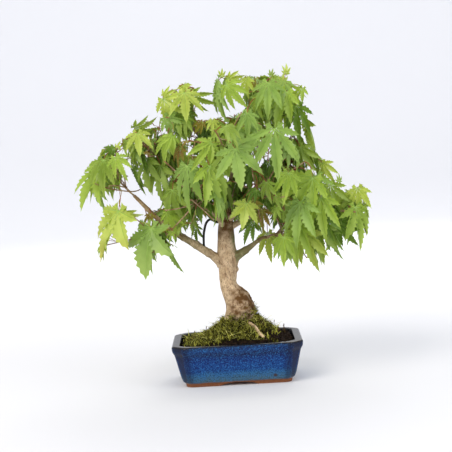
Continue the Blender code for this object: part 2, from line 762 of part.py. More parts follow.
def stand_on_origin(objects):
    """Hangs the objects on one empty, and moves it so that the origin is on the ground under the
    middle of the whole plant's box."""
    corners = np.array([obj.matrix_world @ vertex.co for obj in objects for vertex in obj.data.vertices])
    middle = 0.5 * (corners.min(axis=0) + corners.max(axis=0))
    stand = bpy.data.objects.new("plant_origin", None)
    bpy.context.scene.collection.objects.link(stand)
    stand.location = (-round(middle[0], 4), -round(middle[1], 4), 0.0)
    for obj in objects:
        obj.parent = stand


def main():
    clear_scene()
    paths = limb_paths()
    cutter = trunk_solid("trunk_cutter", GAP)
    trunk = trunk_solid("trunk")
    smooth(trunk, 60.0)
    objects = [build_pot(), build_soil(), build_moss(copy_of(cutter)), trunk]
    objects += [build_limb(limb, paths, cutter) for limb in LIMBS]
    objects.append(build_wire(paths, cutter))
    bpy.data.objects.remove(cutter)
    tubes = [(path, radii + LIMB_MARGIN) for path, radii in paths.values()]
    tubes.append((curve_through(WIRE_ROUTE, WIRE_RINGS), np.full(WIRE_RINGS, WIRE_RADIUS + LIMB_MARGIN)))
    walls = tube_tree(tubes, BOUGH_SIDES)
    centres = np.array([mass[2] for mass in MASSES], float)
    sizes = np.array([mass[3] for mass in MASSES], float)
    for index in range(len(MASSES)):
        objects.append(build_mass(index, paths, centres, sizes, walls))
    stand_on_origin(objects)


main()
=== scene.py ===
"""The looks of a Japanese maple bonsai in a glazed pot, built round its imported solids.

Sizes are millimetres in a frame on the ground under the pot's middle: X to the right, Y away from
the front, Z up. PotFrame moves finished points into the row frame, in metres. The trunk, boughs and
masses of foliage repeat the sizes and the growth rule of the solids and carry them on to finer
twigs.
"""

from __future__ import annotations

import json
import logging
import math
import random
from dataclasses import dataclass, field
from enum import Enum
from typing import Iterable, Sequence

import bpy
import numpy as np
from mathutils import Matrix, Vector
from mathutils.bvhtree import BVHTree

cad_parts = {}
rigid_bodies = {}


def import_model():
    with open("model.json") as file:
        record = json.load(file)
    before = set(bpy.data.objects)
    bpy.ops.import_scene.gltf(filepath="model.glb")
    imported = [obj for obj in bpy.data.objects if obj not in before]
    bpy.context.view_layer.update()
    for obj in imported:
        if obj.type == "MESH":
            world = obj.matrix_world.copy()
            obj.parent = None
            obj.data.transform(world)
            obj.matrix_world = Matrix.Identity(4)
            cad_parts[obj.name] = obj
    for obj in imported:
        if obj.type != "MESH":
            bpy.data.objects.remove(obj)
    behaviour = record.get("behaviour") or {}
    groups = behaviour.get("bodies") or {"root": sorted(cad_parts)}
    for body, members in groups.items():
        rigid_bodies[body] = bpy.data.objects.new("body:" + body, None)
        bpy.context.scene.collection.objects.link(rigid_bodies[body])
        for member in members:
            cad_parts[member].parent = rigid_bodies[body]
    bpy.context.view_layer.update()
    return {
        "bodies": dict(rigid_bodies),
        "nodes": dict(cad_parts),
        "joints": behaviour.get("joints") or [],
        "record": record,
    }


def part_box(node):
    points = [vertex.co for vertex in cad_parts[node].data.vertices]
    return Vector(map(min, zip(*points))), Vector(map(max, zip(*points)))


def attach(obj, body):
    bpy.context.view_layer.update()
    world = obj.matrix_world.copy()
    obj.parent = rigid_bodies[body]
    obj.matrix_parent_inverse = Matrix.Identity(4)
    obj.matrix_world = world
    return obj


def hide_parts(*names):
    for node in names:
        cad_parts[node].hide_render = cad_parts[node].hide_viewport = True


Array = np.ndarray
Colour = tuple[float, float, float, float] | bpy.types.NodeSocket
MM = 0.001
GAP = 0.3  # between limbs, as in the solids
BODY = "root"
FINE_SEED, TINT_SEED = 1000, 7000
NOISE_SPREAD = (0.35, 0.65)  # between these most of a noise texture's values lie
log = logging.getLogger("bonsai")


# Colours and shader nodes


def linear(code: str) -> tuple[float, float, float, float]:
    """Turns an sRGB hex colour into the linear colour that shaders take.

    Args:
        code: six hex digits after a hash sign.

    Returns:
        Red, green, blue and an alpha of one.
    """
    parts = [int(code[i:i + 2], 16) / 255 for i in (1, 3, 5)]
    red, green, blue = (c / 12.92 if c <= 0.04045 else ((c + 0.055) / 1.055) ** 2.4 for c in parts)
    return (red, green, blue, 1.0)


def add_node(tree: bpy.types.NodeTree, kind: str, inputs: dict | None = None,
             **settings: str | bool) -> bpy.types.Node:
    """Adds a shader node with its settings and links.

    Args:
        tree: the material's node tree.
        kind: the node's type, without the leading "ShaderNode".
        inputs: socket name or number to a value, or to an output socket that is linked to it.
        settings: values of the node's own properties.

    Returns:
        The new node.
    """
    made = tree.nodes.new("ShaderNode" + kind)
    for key, value in settings.items():
        setattr(made, key, value)
    for key, value in (inputs or {}).items():
        if isinstance(value, bpy.types.NodeSocket):
            tree.links.new(value, made.inputs[key])
        else:
            made.inputs[key].default_value = value
    return made


def new_material(name: str, constants: dict) -> tuple:
    """Sets up a material with a Principled shader.

    Args:
        name: the material's name.
        constants: the shader's socket names, each with its value.

    Returns:
        The material, its node tree and the shader.
    """
    material = bpy.data.materials.new(name)
    material.use_nodes = True
    shader = material.node_tree.nodes["Principled BSDF"]
    for key, value in constants.items():
        shader.inputs[key].default_value = value
    return material, material.node_tree, shader


def lay_coats(tree: bpy.types.NodeTree, colour: Colour, *coats: tuple) -> bpy.types.NodeSocket:
    """Lays colours over one another.

    Args:
        tree: the material's node tree.
        colour: what lies under them all.
        coats: for each, the socket that says where it lies, its hex colour or socket, and, where
            that socket is a pattern, the pattern's values for none and for most of it, and how much
            most is.

    Returns:
        The socket of the colour on top.
    """
    for share, over, *window in coats:
        if window:
            limits = dict(zip((1, 2, 4), window))
            share = add_node(tree, "MapRange", {0: share, **limits}).outputs[0]
        over = linear(over) if isinstance(over, str) else over
        colour = add_node(tree, "Mix", {0: share, 6: colour, 7: over}, data_type="RGBA").outputs[2]
    return colour


def dress(tree: bpy.types.NodeTree, shader: bpy.types.Node, colour: bpy.types.NodeSocket,
          height: bpy.types.NodeSocket, relief_mm: float, strength: float) -> None:
    """Links a colour, and a relief of that height, to a shader.

    Args:
        tree: the material's node tree.
        shader: what is dressed.
        colour: its base colour.
        height: the relief's height, as a share of the most.
        relief_mm: the most, in millimetres.
        strength: how strongly the relief shows.
    """
    bump = add_node(tree, "Bump", {
        "Height": height, "Distance": relief_mm * MM, "Strength": strength})
    tree.links.new(colour, shader.inputs["Base Color"])
    tree.links.new(bump.outputs["Normal"], shader.inputs["Normal"])


@dataclass(frozen=True)
class LeafFinish:
    """Living maple leaf: a thin blade with a satin cuticle that lets some light through. The two
    near greens keep a spray from looking painted, lobes pale towards their tips, and the mesh tells
    where a tip has dried. The glow is the light that comes through the blade."""

    name: str
    light: str
    dark: str
    glow: str
    pale: str = "#B4C66E"
    dried: str = "#B8974A"
    patch_mm: float = 14.0
    crinkle_mm: float = 1.6
    roughness: float = 0.42
    gloss: float = 0.35
    see_through: float = 0.24

    def build(self) -> bpy.types.Material:
        """Makes the material.

        Returns:
            The material.
        """
        material, tree, shader = new_material(
            self.name, {"Roughness": self.roughness, "Specular IOR Level": self.gloss})
        place = add_node(tree, "TexCoord").outputs["Object"]
        patch, crinkle = (
            add_node(tree, "TexNoise", {"Vector": place, "Scale": 1 / (mm * MM)}).outputs["Fac"]
            for mm in (self.patch_mm, self.crinkle_mm))
        reach, dry = (add_node(tree, "Attribute", attribute_name=name).outputs["Fac"]
                      for name in ("reach", "dry"))
        colour = lay_coats(tree, linear(self.light), (patch, self.dark, *NOISE_SPREAD),
                           (reach, self.pale, 0.4, 1.0, 0.45), (dry, self.dried))
        dress(tree, shader, colour, crinkle, 0.25, 0.4)
        through = add_node(tree, "BsdfTranslucent", {"Color": linear(self.glow)})
        both = add_node(tree, "MixShader", {
            0: self.see_through, 1: shader.outputs["BSDF"], 2: through.outputs["BSDF"]})
        tree.links.new(both.outputs[0], tree.nodes["Material Output"].inputs["Surface"])
        return material


@dataclass(frozen=True)
class PlainFinish:
    """A dull organic surface of two near colours with a fine grain, such as moss, a stalk or
    soil."""

    name: str
    light: str
    dark: str
    grain_mm: float
    roughness: float = 0.75
    relief_mm: float = 0.15
    gloss: float = 0.1

    def build(self) -> bpy.types.Material:
        """Makes the material.

        Returns:
            The material.
        """
        material, tree, shader = new_material(
            self.name, {"Roughness": self.roughness, "Specular IOR Level": self.gloss})
        place = add_node(tree, "TexCoord").outputs["Object"]
        noise = add_node(tree, "TexNoise", {"Vector": place, "Scale": 1 / (self.grain_mm * MM)})
        grain = add_node(tree, "MapRange", {
            0: noise.outputs["Fac"], **dict(zip((1, 2), NOISE_SPREAD))}).outputs[0]
        colour = lay_coats(tree, linear(self.dark), (grain, self.light))
        dress(tree, shader, colour, grain, self.relief_mm, 0.6)
        return material


@dataclass(frozen=True)
class BarkFinish:
    """Young maple bark: a thin tan skin with a net of fine upright fissures and small dark
    lenticels. The mesh tells where it is cracked, scarred, grey-green with algae or still the
    red-brown of a young shoot."""

    name: str = "maple_bark"
    tan: str = "#DABF9B"
    shade: str = "#AE8D68"
    crack: str = "#66492F"
    scar: str = "#5F401C"
    algae: str = "#7E8458"
    shoot: str = "#8E5238"
    net_mm: float = 0.95
    speck_mm: float = 0.8
    blotch_mm: float = 7.0
    roughness: float = 0.82
    gloss: float = 0.3

    def build(self) -> bpy.types.Material:
        """Makes the material.

        Returns:
            The material.
        """
        material, tree, shader = new_material(
            self.name, {"Roughness": self.roughness, "Specular IOR Level": self.gloss})
        place = add_node(tree, "TexCoord").outputs["Object"]
        upright = add_node(tree, "Mapping", {"Vector": place, "Scale": (1.0, 1.0, 0.35)}).outputs[0]
        net, specks, blotch = (
            add_node(tree, "TexNoise", {
                "Vector": where, "Scale": 1 / (mm * MM), "Detail": 4.0}).outputs["Fac"]
            for where, mm in (
                (upright, self.net_mm), (place, self.speck_mm), (place, self.blotch_mm)))
        colour = lay_coats(
            tree, linear(self.tan), (blotch, self.shade, 0.42, 0.66, 0.7),
            (specks, self.crack, 0.57, 0.66, 0.75), (net, self.crack, 0.45, 0.36, 0.6))
        ragged = add_node(tree, "MapRange", {
            0: blotch, **dict(zip((1, 2), NOISE_SPREAD)), 3: 0.45, 4: 1.5}).outputs[0]
        for name in ("algae", "shoot", "scar", "crack"):
            told = add_node(tree, "Attribute", attribute_name=name).outputs["Fac"]
            share = add_node(
                tree, "Math", {0: told, 1: ragged}, operation="MULTIPLY", use_clamp=True).outputs[0]
            colour = lay_coats(tree, colour, (share, getattr(self, name)))
        dress(tree, shader, colour, net, 0.45, 0.7)
        return material


@dataclass(frozen=True)
class GlazeFinish:
    """Reactive cobalt glaze on stoneware: a deep gloss, paler specks where crystals rose, a navy
    band under the lip, teal where it ran thick, and brown-black where it broke thin over edges and
    round one pit. The foot and underside are bare terracotta."""

    name: str = "reactive_cobalt_glaze"
    bands: tuple[tuple[float, str], ...] = (
        (0.0, "#4A6068"), (0.1, "#40667A"), (0.24, "#2A5C86"), (0.36, "#0A3C7C"), (0.56, "#053074"),
        (0.7, "#062764"), (0.78, "#081F4C"), (0.86, "#0C2A5E"), (0.94, "#14356A"), (1.0, "#1A2E50"))
    pale_speck: str = "#2A6AA6"
    dark_speck: str = "#071430"
    thin: str = "#120D0C"
    # Painted shade: the darker navy laid on the cut corner faces.
    corner: str = "#0A1230"
    # Painted shade: the inner wall painted nearly black.
    inside: str = "#0D1018"
    clay: str = "#96603E"
    clay_dark: str = "#6E412A"
    pit: str = "#3E2F2A"
    pit_mm: tuple[float, float, float] = (35.5, -39.9, 8.6)
    pit_radius_mm: float = 2.2
    speck_mm: float = 1.0
    low_mm: float = 3.6
    high_mm: float = 40.0
    drift_mm: float = 3.5
    run_mm: float = 9.0
    grain_mm: float = 2.0
    roughness: float = 0.12
    clay_roughness: float = 0.85
    gloss: float = 0.24

    def build(self, middle: Array) -> bpy.types.Material:
        """Makes the material.

        Args:
            middle: the middle of the pot's underside, in metres.

        Returns:
            The material.
        """
        material, tree, shader = new_material(self.name, {"Specular IOR Level": self.gloss})
        place = add_node(tree, "TexCoord").outputs["Object"]
        height = add_node(tree, "SeparateXYZ", {0: place}).outputs["Z"]
        drift, crystals, grain = (
            add_node(tree, "TexNoise", {
                "Vector": place, "Scale": 1 / (mm * MM), "Detail": detail}).outputs["Fac"]
            for mm, detail in ((self.run_mm, 4.0), (self.speck_mm, 3.0), (self.grain_mm, 2.0)))
        wander = add_node(tree, "Math", {0: drift, 1: 2 * self.drift_mm * MM, 2: height},
                          operation="MULTIPLY_ADD").outputs[0]
        level = add_node(tree, "MapRange", {0: wander, 1: (self.low_mm + self.drift_mm) * MM,
                                            2: (self.high_mm + self.drift_mm) * MM}).outputs[0]
        ramp = add_node(tree, "ValToRGB", {0: level})
        stops = ramp.color_ramp.elements
        for _ in range(len(self.bands) - len(stops)):
            stops.new(0.5)
        for stop, (share, code) in zip(stops, self.bands):
            stop.position, stop.color = share, linear(code)
        away = add_node(tree, "VectorMath", {
            0: place, 1: tuple(centre + mm * MM for centre, mm in zip(middle, self.pit_mm))},
            operation="DISTANCE").outputs["Value"]
        clay = lay_coats(tree, linear(self.clay_dark), (grain, self.clay))
        told = {name: add_node(tree, "Attribute", attribute_name=name).outputs["Fac"]
                for name in ("corner", "thin", "inside", "clay")}
        pit = self.pit_radius_mm * MM
        colour = lay_coats(
            tree, ramp.outputs["Color"], (crystals, self.pale_speck, 0.51, 0.66, 0.9),
            (crystals, self.dark_speck, 0.47, 0.36, 0.8), (away, self.pit, pit, 0.6 * pit, 0.9),
            # The corner and inside coats are painted shade.
            (told["corner"], self.corner), (told["thin"], self.thin), (told["inside"], self.inside),
            (told["clay"], clay))
        dull = add_node(tree, "MapRange", {
            0: told["clay"], 3: self.roughness, 4: self.clay_roughness}).outputs[0]
        tree.links.new(dull, shader.inputs["Roughness"])
        dress(tree, shader, colour, drift, 0.4, 0.35)
        return material


@dataclass(frozen=True)
class WireFinish:
    """Black anodised aluminium wire: a soft grey sheen on a nearly black skin."""

    name: str = "black_anodised_aluminium"
    black: str = "#2B2826"
    worn_mm: float = 2.0

    def build(self) -> bpy.types.Material:
        """Makes the material.

        Returns:
            The material.
        """
        material, tree, shader = new_material(
            self.name, {"Base Color": linear(self.black), "Metallic": 0.6})
        place = add_node(tree, "TexCoord").outputs["Object"]
        noise = add_node(tree, "TexNoise", {"Vector": place, "Scale": 1 / (self.worn_mm * MM)})
        worn = add_node(tree, "MapRange", {0: noise.outputs["Fac"], 3: 0.35, 4: 0.6})
        tree.links.new(worn.outputs[0], shader.inputs["Roughness"])
        return material


# Surfaces from whole arrays


def unit(vectors: Array) -> Array:
    """Vectors of length one, along the last axis."""
    vectors = np.asarray(vectors, float)
    return vectors / np.maximum(np.linalg.norm(vectors, axis=-1, keepdims=True), 1e-12)


def ring_angles(sides: int) -> Array:
    """The angles of a ring's points."""
    return np.arange(sides) * 2 * np.pi / sides


def bent(start: Array, knee: Array, end: Array, t: Array) -> Array:
    """Points at shares t of the quadratic curve from start to end that bends towards knee."""
    return (1 - t) ** 2 * start + 2 * t * (1 - t) * knee + t ** 2 * end


def repeated(faces: Array, copies: int, points: int) -> Array:
    """The faces of copies of a shape of so many points, numbered on from copy to copy."""
    starts = (np.arange(copies) * points)[:, None, None]
    return (faces[None] + starts).reshape(-1, faces.shape[1])


def grid_faces(rows: int, columns: int, closed: bool = True) -> Array:
    """Quads of a grid of points numbered row by row.

    Args:
        rows: of the grid.
        columns: of the grid.
        closed: whether the last column joins the first.

    Returns:
        Quads, of shape (faces, 4).
    """
    wide = columns if closed else columns - 1
    row, column = np.meshgrid(np.arange(rows - 1), np.arange(wide), indexing="ij")
    after = (column + 1) % columns
    quads = np.stack((row * columns + column, row * columns + after,
                      (row + 1) * columns + after, (row + 1) * columns + column), axis=-1)
    return quads.reshape(-1, 4)


def tube_skin(paths: Array, radii: Array, sides: int) -> tuple[Array, Array]:
    """Skins of many tubes at once.

    A point is its ring's middle plus radius times (side cos a + other sin a), with side across the
    path and the frame axis that it least follows.

    Args:
        paths: ring middles, of shape (tubes, rings, 3).
        radii: of shape (tubes, rings) or (tubes, rings, sides).
        sides: points in a ring.

    Returns:
        Points of shape (tubes, rings, sides, 3), and quads over all of them.
    """
    if radii.ndim == 2:
        radii = radii[..., None]
    along = unit(np.gradient(paths, axis=-2))
    overall = np.abs(unit(paths[:, -1] - paths[:, 0]))
    steer = np.where(overall[:, [0]] < overall[:, [1]], [[1.0, 0.0, 0.0]], [[0.0, 1.0, 0.0]])
    side = unit(np.cross(along, steer[:, None, :]))
    other = np.cross(along, side)
    angle = ring_angles(sides)[:, None]
    spoke = side[..., None, :] * np.cos(angle) + other[..., None, :] * np.sin(angle)
    points = paths[..., None, :] + spoke * radii[..., None]
    return points, repeated(grid_faces(paths.shape[1], sides), len(paths), paths.shape[1] * sides)


def tube_caps(tubes: int, rings: int, sides: int) -> Array:
    """The end faces of tubes from tube_skin.

    Args:
        tubes: how many.
        rings: in each tube.
        sides: points in a ring.

    Returns:
        One polygon for each end.
    """
    ring = np.arange(sides)
    ends = np.stack((ring[::-1], (rings - 1) * sides + ring))
    starts = (np.arange(tubes) * rings * sides)[:, None]
    return np.concatenate([end[None] + starts for end in ends])


def curve_through(stations: Sequence[Sequence[float]], count: int) -> Array:
    """Evenly spaced points on a smooth curve through the stations, in all their columns.

    Between two stations each column follows the Catmull-Rom cubic of its four neighbours, and the
    points are then spread evenly by length over the first three columns.

    Args:
        stations: rows of x, y, z and what else changes along the curve.
        count: how many points.

    Returns:
        An array of count rows.
    """
    rows = np.array(stations, float)
    padded = np.vstack([2 * rows[0] - rows[1], rows, 2 * rows[-1] - rows[-2]])
    before, here, after, beyond = (padded[k:len(padded) - 3 + k, None] for k in range(4))
    t = (np.arange(16) / 16)[None, :, None]
    fine = 0.5 * (2 * here + (after - before) * t
                  + (2 * before - 5 * here + 4 * after - beyond) * t ** 2
                  + (3 * here - before - 3 * after + beyond) * t ** 3)
    fine = np.vstack([fine.reshape(-1, rows.shape[1]), rows[-1:]])
    along = np.concatenate([[0], np.cumsum(np.linalg.norm(np.diff(fine[:, :3], axis=0), axis=1))])
    wanted = np.linspace(0, along[-1], count)
    return np.array([np.interp(wanted, along, fine[:, k]) for k in range(rows.shape[1])]).T


def wrapped_noise(around: Array, along: Array, cells: int, step: float, seed: int) -> Array:
    """Smooth noise on a tube, from -1 to 1.

    A lattice holds random heights, cells of them round the tube, closing on itself, and a row every
    step along it. Between them the heights blend by the smoothstep of both places.

    Args:
        around: angles in radians.
        along: places along the tube, of a shape that fits around.
        cells: lattice cells round the tube.
        step: lattice spacing along it.
        seed: of the random heights.

    Returns:
        Values of the two shapes broadcast together.
    """
    across = np.mod(around, 2 * np.pi) / (2 * np.pi) * cells
    rise = (along - np.min(along)) / step
    column, row = np.floor(across).astype(int), np.floor(rise).astype(int)
    table = np.random.default_rng(seed).uniform(-1, 1, (int(row.max()) + 2, cells))
    fx, fy = across - column, rise - row
    fx, fy = fx * fx * (3 - 2 * fx), fy * fy * (3 - 2 * fy)
    left, right = column % cells, (column + 1) % cells
    low = table[row, left] * (1 - fx) + table[row, right] * fx
    high = table[row + 1, left] * (1 - fx) + table[row + 1, right] * fx
    return low * (1 - fy) + high * fy


def bell(distance: Array | float, width: float) -> Array:
    """A bell curve of height one."""
    return np.exp(-((distance / width) ** 2))


def fade(value: Array, low: float, high: float) -> Array:
    """Smoothstep from 0 at low to 1 at high."""
    share = np.clip((value - low) / (high - low), 0, 1)
    return share * share * (3 - 2 * share)


@dataclass
class Skin:
    """Points and faces gathered block by block, with values that the finish reads from the mesh."""

    points: list[Array] = field(default_factory=list)
    faces: list[Array] = field(default_factory=list)
    values: dict[str, list[Array]] = field(default_factory=dict)
    count: int = 0

    def add(self, points: Array, *faces: Array, **values: Array | float) -> None:
        """Adds a block.

        Args:
            points: in millimetres, of shape (..., 3).
            faces: arrays of faces, each of shape (faces, corners), numbered from the block's start.
            values: a number for each point, or one for all.
        """
        flat = np.asarray(points, float).reshape(-1, 3)
        self.points.append(flat)
        self.faces += [np.asarray(block) + self.count for block in faces]
        for name, value in values.items():
            spread = np.broadcast_to(value, points.shape[:-1]).reshape(-1)
            self.values.setdefault(name, []).append(spread)
        self.count += len(flat)

    def tubes(self, paths: Array, radii: Array, sides: int, **values: Array | float) -> None:
        """Adds tubes with closed ends.

        Args:
            paths: ring middles, of shape (tubes, rings, 3).
            radii: of shape (tubes, rings).
            sides: points in a ring.
            values: for each ring, of shape (tubes, rings), or for all.
        """
        points, quads = tube_skin(paths, radii, sides)
        spread = {name: np.broadcast_to(value, radii.shape)[..., None]
                  for name, value in values.items()}
        self.add(points, quads, tube_caps(*paths.shape[:2], sides), **spread)

    def tube(self, path: Array, radii: Array, sides: int, **values: Array | float) -> None:
        """Adds one tube. radii and values are of a shape that fits (rings, sides)."""
        points, quads = tube_skin(path[None], radii[None], sides)
        self.add(points[0], quads, tube_caps(1, len(path), sides), **values)


@dataclass
class PotFrame:
    """The way from the pot's own frame in millimetres to the row frame in metres."""

    middle: Array

    @classmethod
    def from_pot(cls) -> PotFrame:
        """Finds the pot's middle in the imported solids."""
        low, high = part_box("pot")
        return cls(np.array([(low.x + high.x) / 2, (low.y + high.y) / 2, 0.0]))

    def place(self, points: Array) -> Array:
        """Points in millimetres from the pot's middle, as metres in the row frame."""
        return points * MM + self.middle

    def piece(self, name: str, skin: Skin, finish: bpy.types.Material, slot: str,
              replaces: Iterable[str] = (), flat: bool = False) -> bpy.types.Object:
        """Makes an object of a skin, in its place, riding on the plant.

        Args:
            name: the piece's name.
            skin: its points, faces and values.
            finish: its material.
            slot: the record's material slot; not used.
            replaces: the CAD nodes that it stands for.
            flat: whether its faces are shaded flat.

        Returns:
            The object.
        """
        places = self.place(np.concatenate(skin.points)).astype(np.float32)
        corners = np.concatenate([block.reshape(-1) for block in skin.faces]).astype(np.int32)
        sizes = np.concatenate([np.full(len(block), block.shape[1]) for block in skin.faces])
        mesh = bpy.data.meshes.new(name)
        mesh.vertices.add(len(places))
        mesh.vertices.foreach_set("co", places.reshape(-1))
        mesh.loops.add(len(corners))
        mesh.loops.foreach_set("vertex_index", corners)
        mesh.polygons.add(len(sizes))
        starts = np.concatenate([[0], np.cumsum(sizes)[:-1]]).astype(np.int32)
        mesh.polygons.foreach_set("loop_start", starts)
        mesh.polygons.foreach_set("use_smooth", np.full(len(sizes), not flat))
        mesh.update(calc_edges=True)
        for key, blocks in skin.values.items():
            told = mesh.attributes.new(key, "FLOAT", "POINT")
            told.data.foreach_set("value", np.concatenate(blocks).astype(np.float32))
        mesh.materials.append(finish)
        made = bpy.data.objects.new(name, mesh)
        bpy.context.scene.collection.objects.link(made)
        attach(made, BODY)
        if replaces:
            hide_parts(*replaces)
        log.info("%s: %d triangles", name, int((sizes - 2).sum()))
        return made


# The trunk and the boughs


@dataclass(frozen=True)
class Limb:
    """A bough: what it grows from and where, the points that it bends through, its radii, how green
    with algae its bark is, and how much it swells along the way."""

    name: str
    parent: str
    where: float
    bends: tuple[tuple[float, float, float], ...]
    thick: float
    thin: float
    algae: float = 0.35
    stout: float = 0.0

    def radius(self, share: Array) -> Array:
        """The radius at a share of the way out."""
        return self.thick + (self.thin - self.thick) * share ** 0.8


@dataclass(frozen=True)
class Mass:
    """A mass of foliage: its limb, the oval space that it keeps to, and how much it grows there."""

    name: str
    limb: str
    centre: tuple[float, float, float]
    size: tuple[float, float, float]
    shoots: int
    leaves: int
    seed: int


GROUND = 35.0

# Middle line and radius of the trunk, from the ground up
TRUNK_STATIONS = (
    (6, 0, GROUND + GAP, 23), (5.6, 0, 47, 19.5), (5, 0.5, 60, 16), (4.6, 1, 70, 14.4),
    (2.2, 1.5, 80, 12.6), (-2.2, 2, 89.5, 10.9), (-4.8, 2.4, 100, 8.9), (-4.9, 2.2, 112, 9.6),
    (-4.6, 1.5, 122, 10.4), (-4.9, 0.5, 136, 8.9), (-4.9, -0.5, 147, 8.3), (-4.2, -1, 157, 7.4),
    (-3, -1, 166, 5.6), (-1.5, -0.5, 177, 4.6), (2.4, 0.5, 192, 3.8), (6.5, 2, 208, 3.3),
    (13, 2, 230, 2.5), (22, 1, 250, 1.8))

LIMBS = tuple(Limb(*row) for row in (
    ("left_bough", "trunk", 115, ((-37, -2, 138), (-66, -3, 159.5)), 5.2, 1.6, 0.45),
    ("left_spur", "left_bough", 0.52, (), 1.9, 1.3),
    ("left_upper_bough", "trunk", 156, ((-34, 2, 192),), 3, 1.5),
    ("upper_left_bough", "trunk", 186, ((-13, 0, 222),), 2.6, 1.4),
    ("front_left_bough", "trunk", 150, ((-15, -16, 168),), 2.6, 1.4),
    ("right_bough", "trunk", 119, ((14, -4, 129.5), (29, -7, 140)), 4, 1.5, 1, 0.3),
    ("right_far_bough", "trunk", 153, ((42, 4, 168),), 3, 1.5),
    ("front_right_bough", "trunk", 160, ((14, -16, 172),), 2.6, 1.4),
    ("right_slope_bough", "trunk", 172, ((36, 2, 196),), 2.8, 1.4),
    ("front_upper_bough", "trunk", 184, ((3, -16, 202),), 2.4, 1.4),
    ("back_left_bough", "trunk", 162, ((-18, 18, 176),), 2.8, 1.4),
    ("back_right_bough", "trunk", 168, ((22, 18, 180),), 2.8, 1.4),
    ("back_upper_bough", "trunk", 190, ((5, 16, 206),), 2.4, 1.4),
    ("back_low_bough", "trunk", 145, ((0, 20, 154),), 2.8, 1.4),
))

MASSES = tuple(Mass(*row) for row in (
    ("far_left_foliage", "left_bough", (-110, 0, 207), (42, 52, 44), 8, 13, 4),
    ("left_hanging_foliage", "left_spur", (-90, -14, 152), (50, 46, 46), 8, 12, 7),
    ("left_upper_foliage", "left_upper_bough", (-74, 2, 236), (46, 60, 44), 9, 14, 1),
    ("upper_left_foliage", "upper_left_bough", (-38, 0, 264), (44, 56, 46), 9, 15, 14),
    ("top_foliage", "trunk", (34, 0, 266), (56, 58, 52), 12, 22, 6),
    ("right_slope_foliage", "right_slope_bough", (68, 0, 220), (38, 58, 56), 9, 14, 4),
    ("far_right_foliage", "right_far_bough", (106, 4, 167), (42, 50, 48), 8, 12, 5),
    ("right_low_foliage", "right_bough", (58, -14, 148), (52, 48, 46), 8, 14, 6),
    ("front_left_foliage", "front_left_bough", (-40, -46, 188), (54, 54, 60), 9, 16, 10),
    ("front_right_foliage", "front_right_bough", (42, -48, 196), (54, 52, 56), 9, 15, 3),
    ("front_upper_foliage", "front_upper_bough", (2, -54, 238), (58, 52, 52), 9, 15, 13),
    ("back_left_foliage", "back_left_bough", (-50, 52, 200), (54, 52, 58), 9, 15, 6),
    ("back_upper_foliage", "back_upper_bough", (4, 54, 244), (56, 50, 52), 9, 14, 10),
    ("back_right_foliage", "back_right_bough", (58, 50, 196), (54, 52, 58), 9, 15, 4),
    ("back_low_foliage", "back_low_bough", (4, 54, 162), (50, 46, 42), 6, 8, 10),
))


def way_length(stations: Sequence[Sequence[float]]) -> float:
    """The length of the straight lines through stations."""
    return sum(math.dist(a, b) for a, b in zip(stations, stations[1:]))


@dataclass
class Skeleton:
    """The middle lines and radii of the trunk and all boughs, as the solids have them."""

    tip_share: float = 0.5
    ring_spacing: float = 13.0
    fine_rings: int = 120
    paths: dict[str, tuple[Array, Array]] = field(default_factory=dict)
    stations: dict[str, list] = field(default_factory=dict)

    def __post_init__(self) -> None:
        """Works out every path. A bough ends short of the middle of its mass."""
        trunk = curve_through(TRUNK_STATIONS, self.fine_rings)
        self.paths["trunk"] = (trunk[:, :3], trunk[:, 3])
        for limb in LIMBS:
            places, _ = self.paths[limb.parent]
            if limb.parent == "trunk":
                start = places[np.argmin(np.abs(places[:, 2] - limb.where))]
            else:
                start = places[round(limb.where * (len(places) - 1))]
            mass = next(mass for mass in MASSES if mass.limb == limb.name)
            way = unit(np.subtract(mass.centre, (limb.bends or (start,))[-1]))
            stations = [start, *limb.bends, mass.centre - way * self.tip_share * np.mean(mass.size)]
            path = curve_through(stations, max(4, round(way_length(stations) / self.ring_spacing)))
            self.stations[limb.name] = stations
            self.paths[limb.name] = (path, limb.radius(np.linspace(0, 1, len(path))))


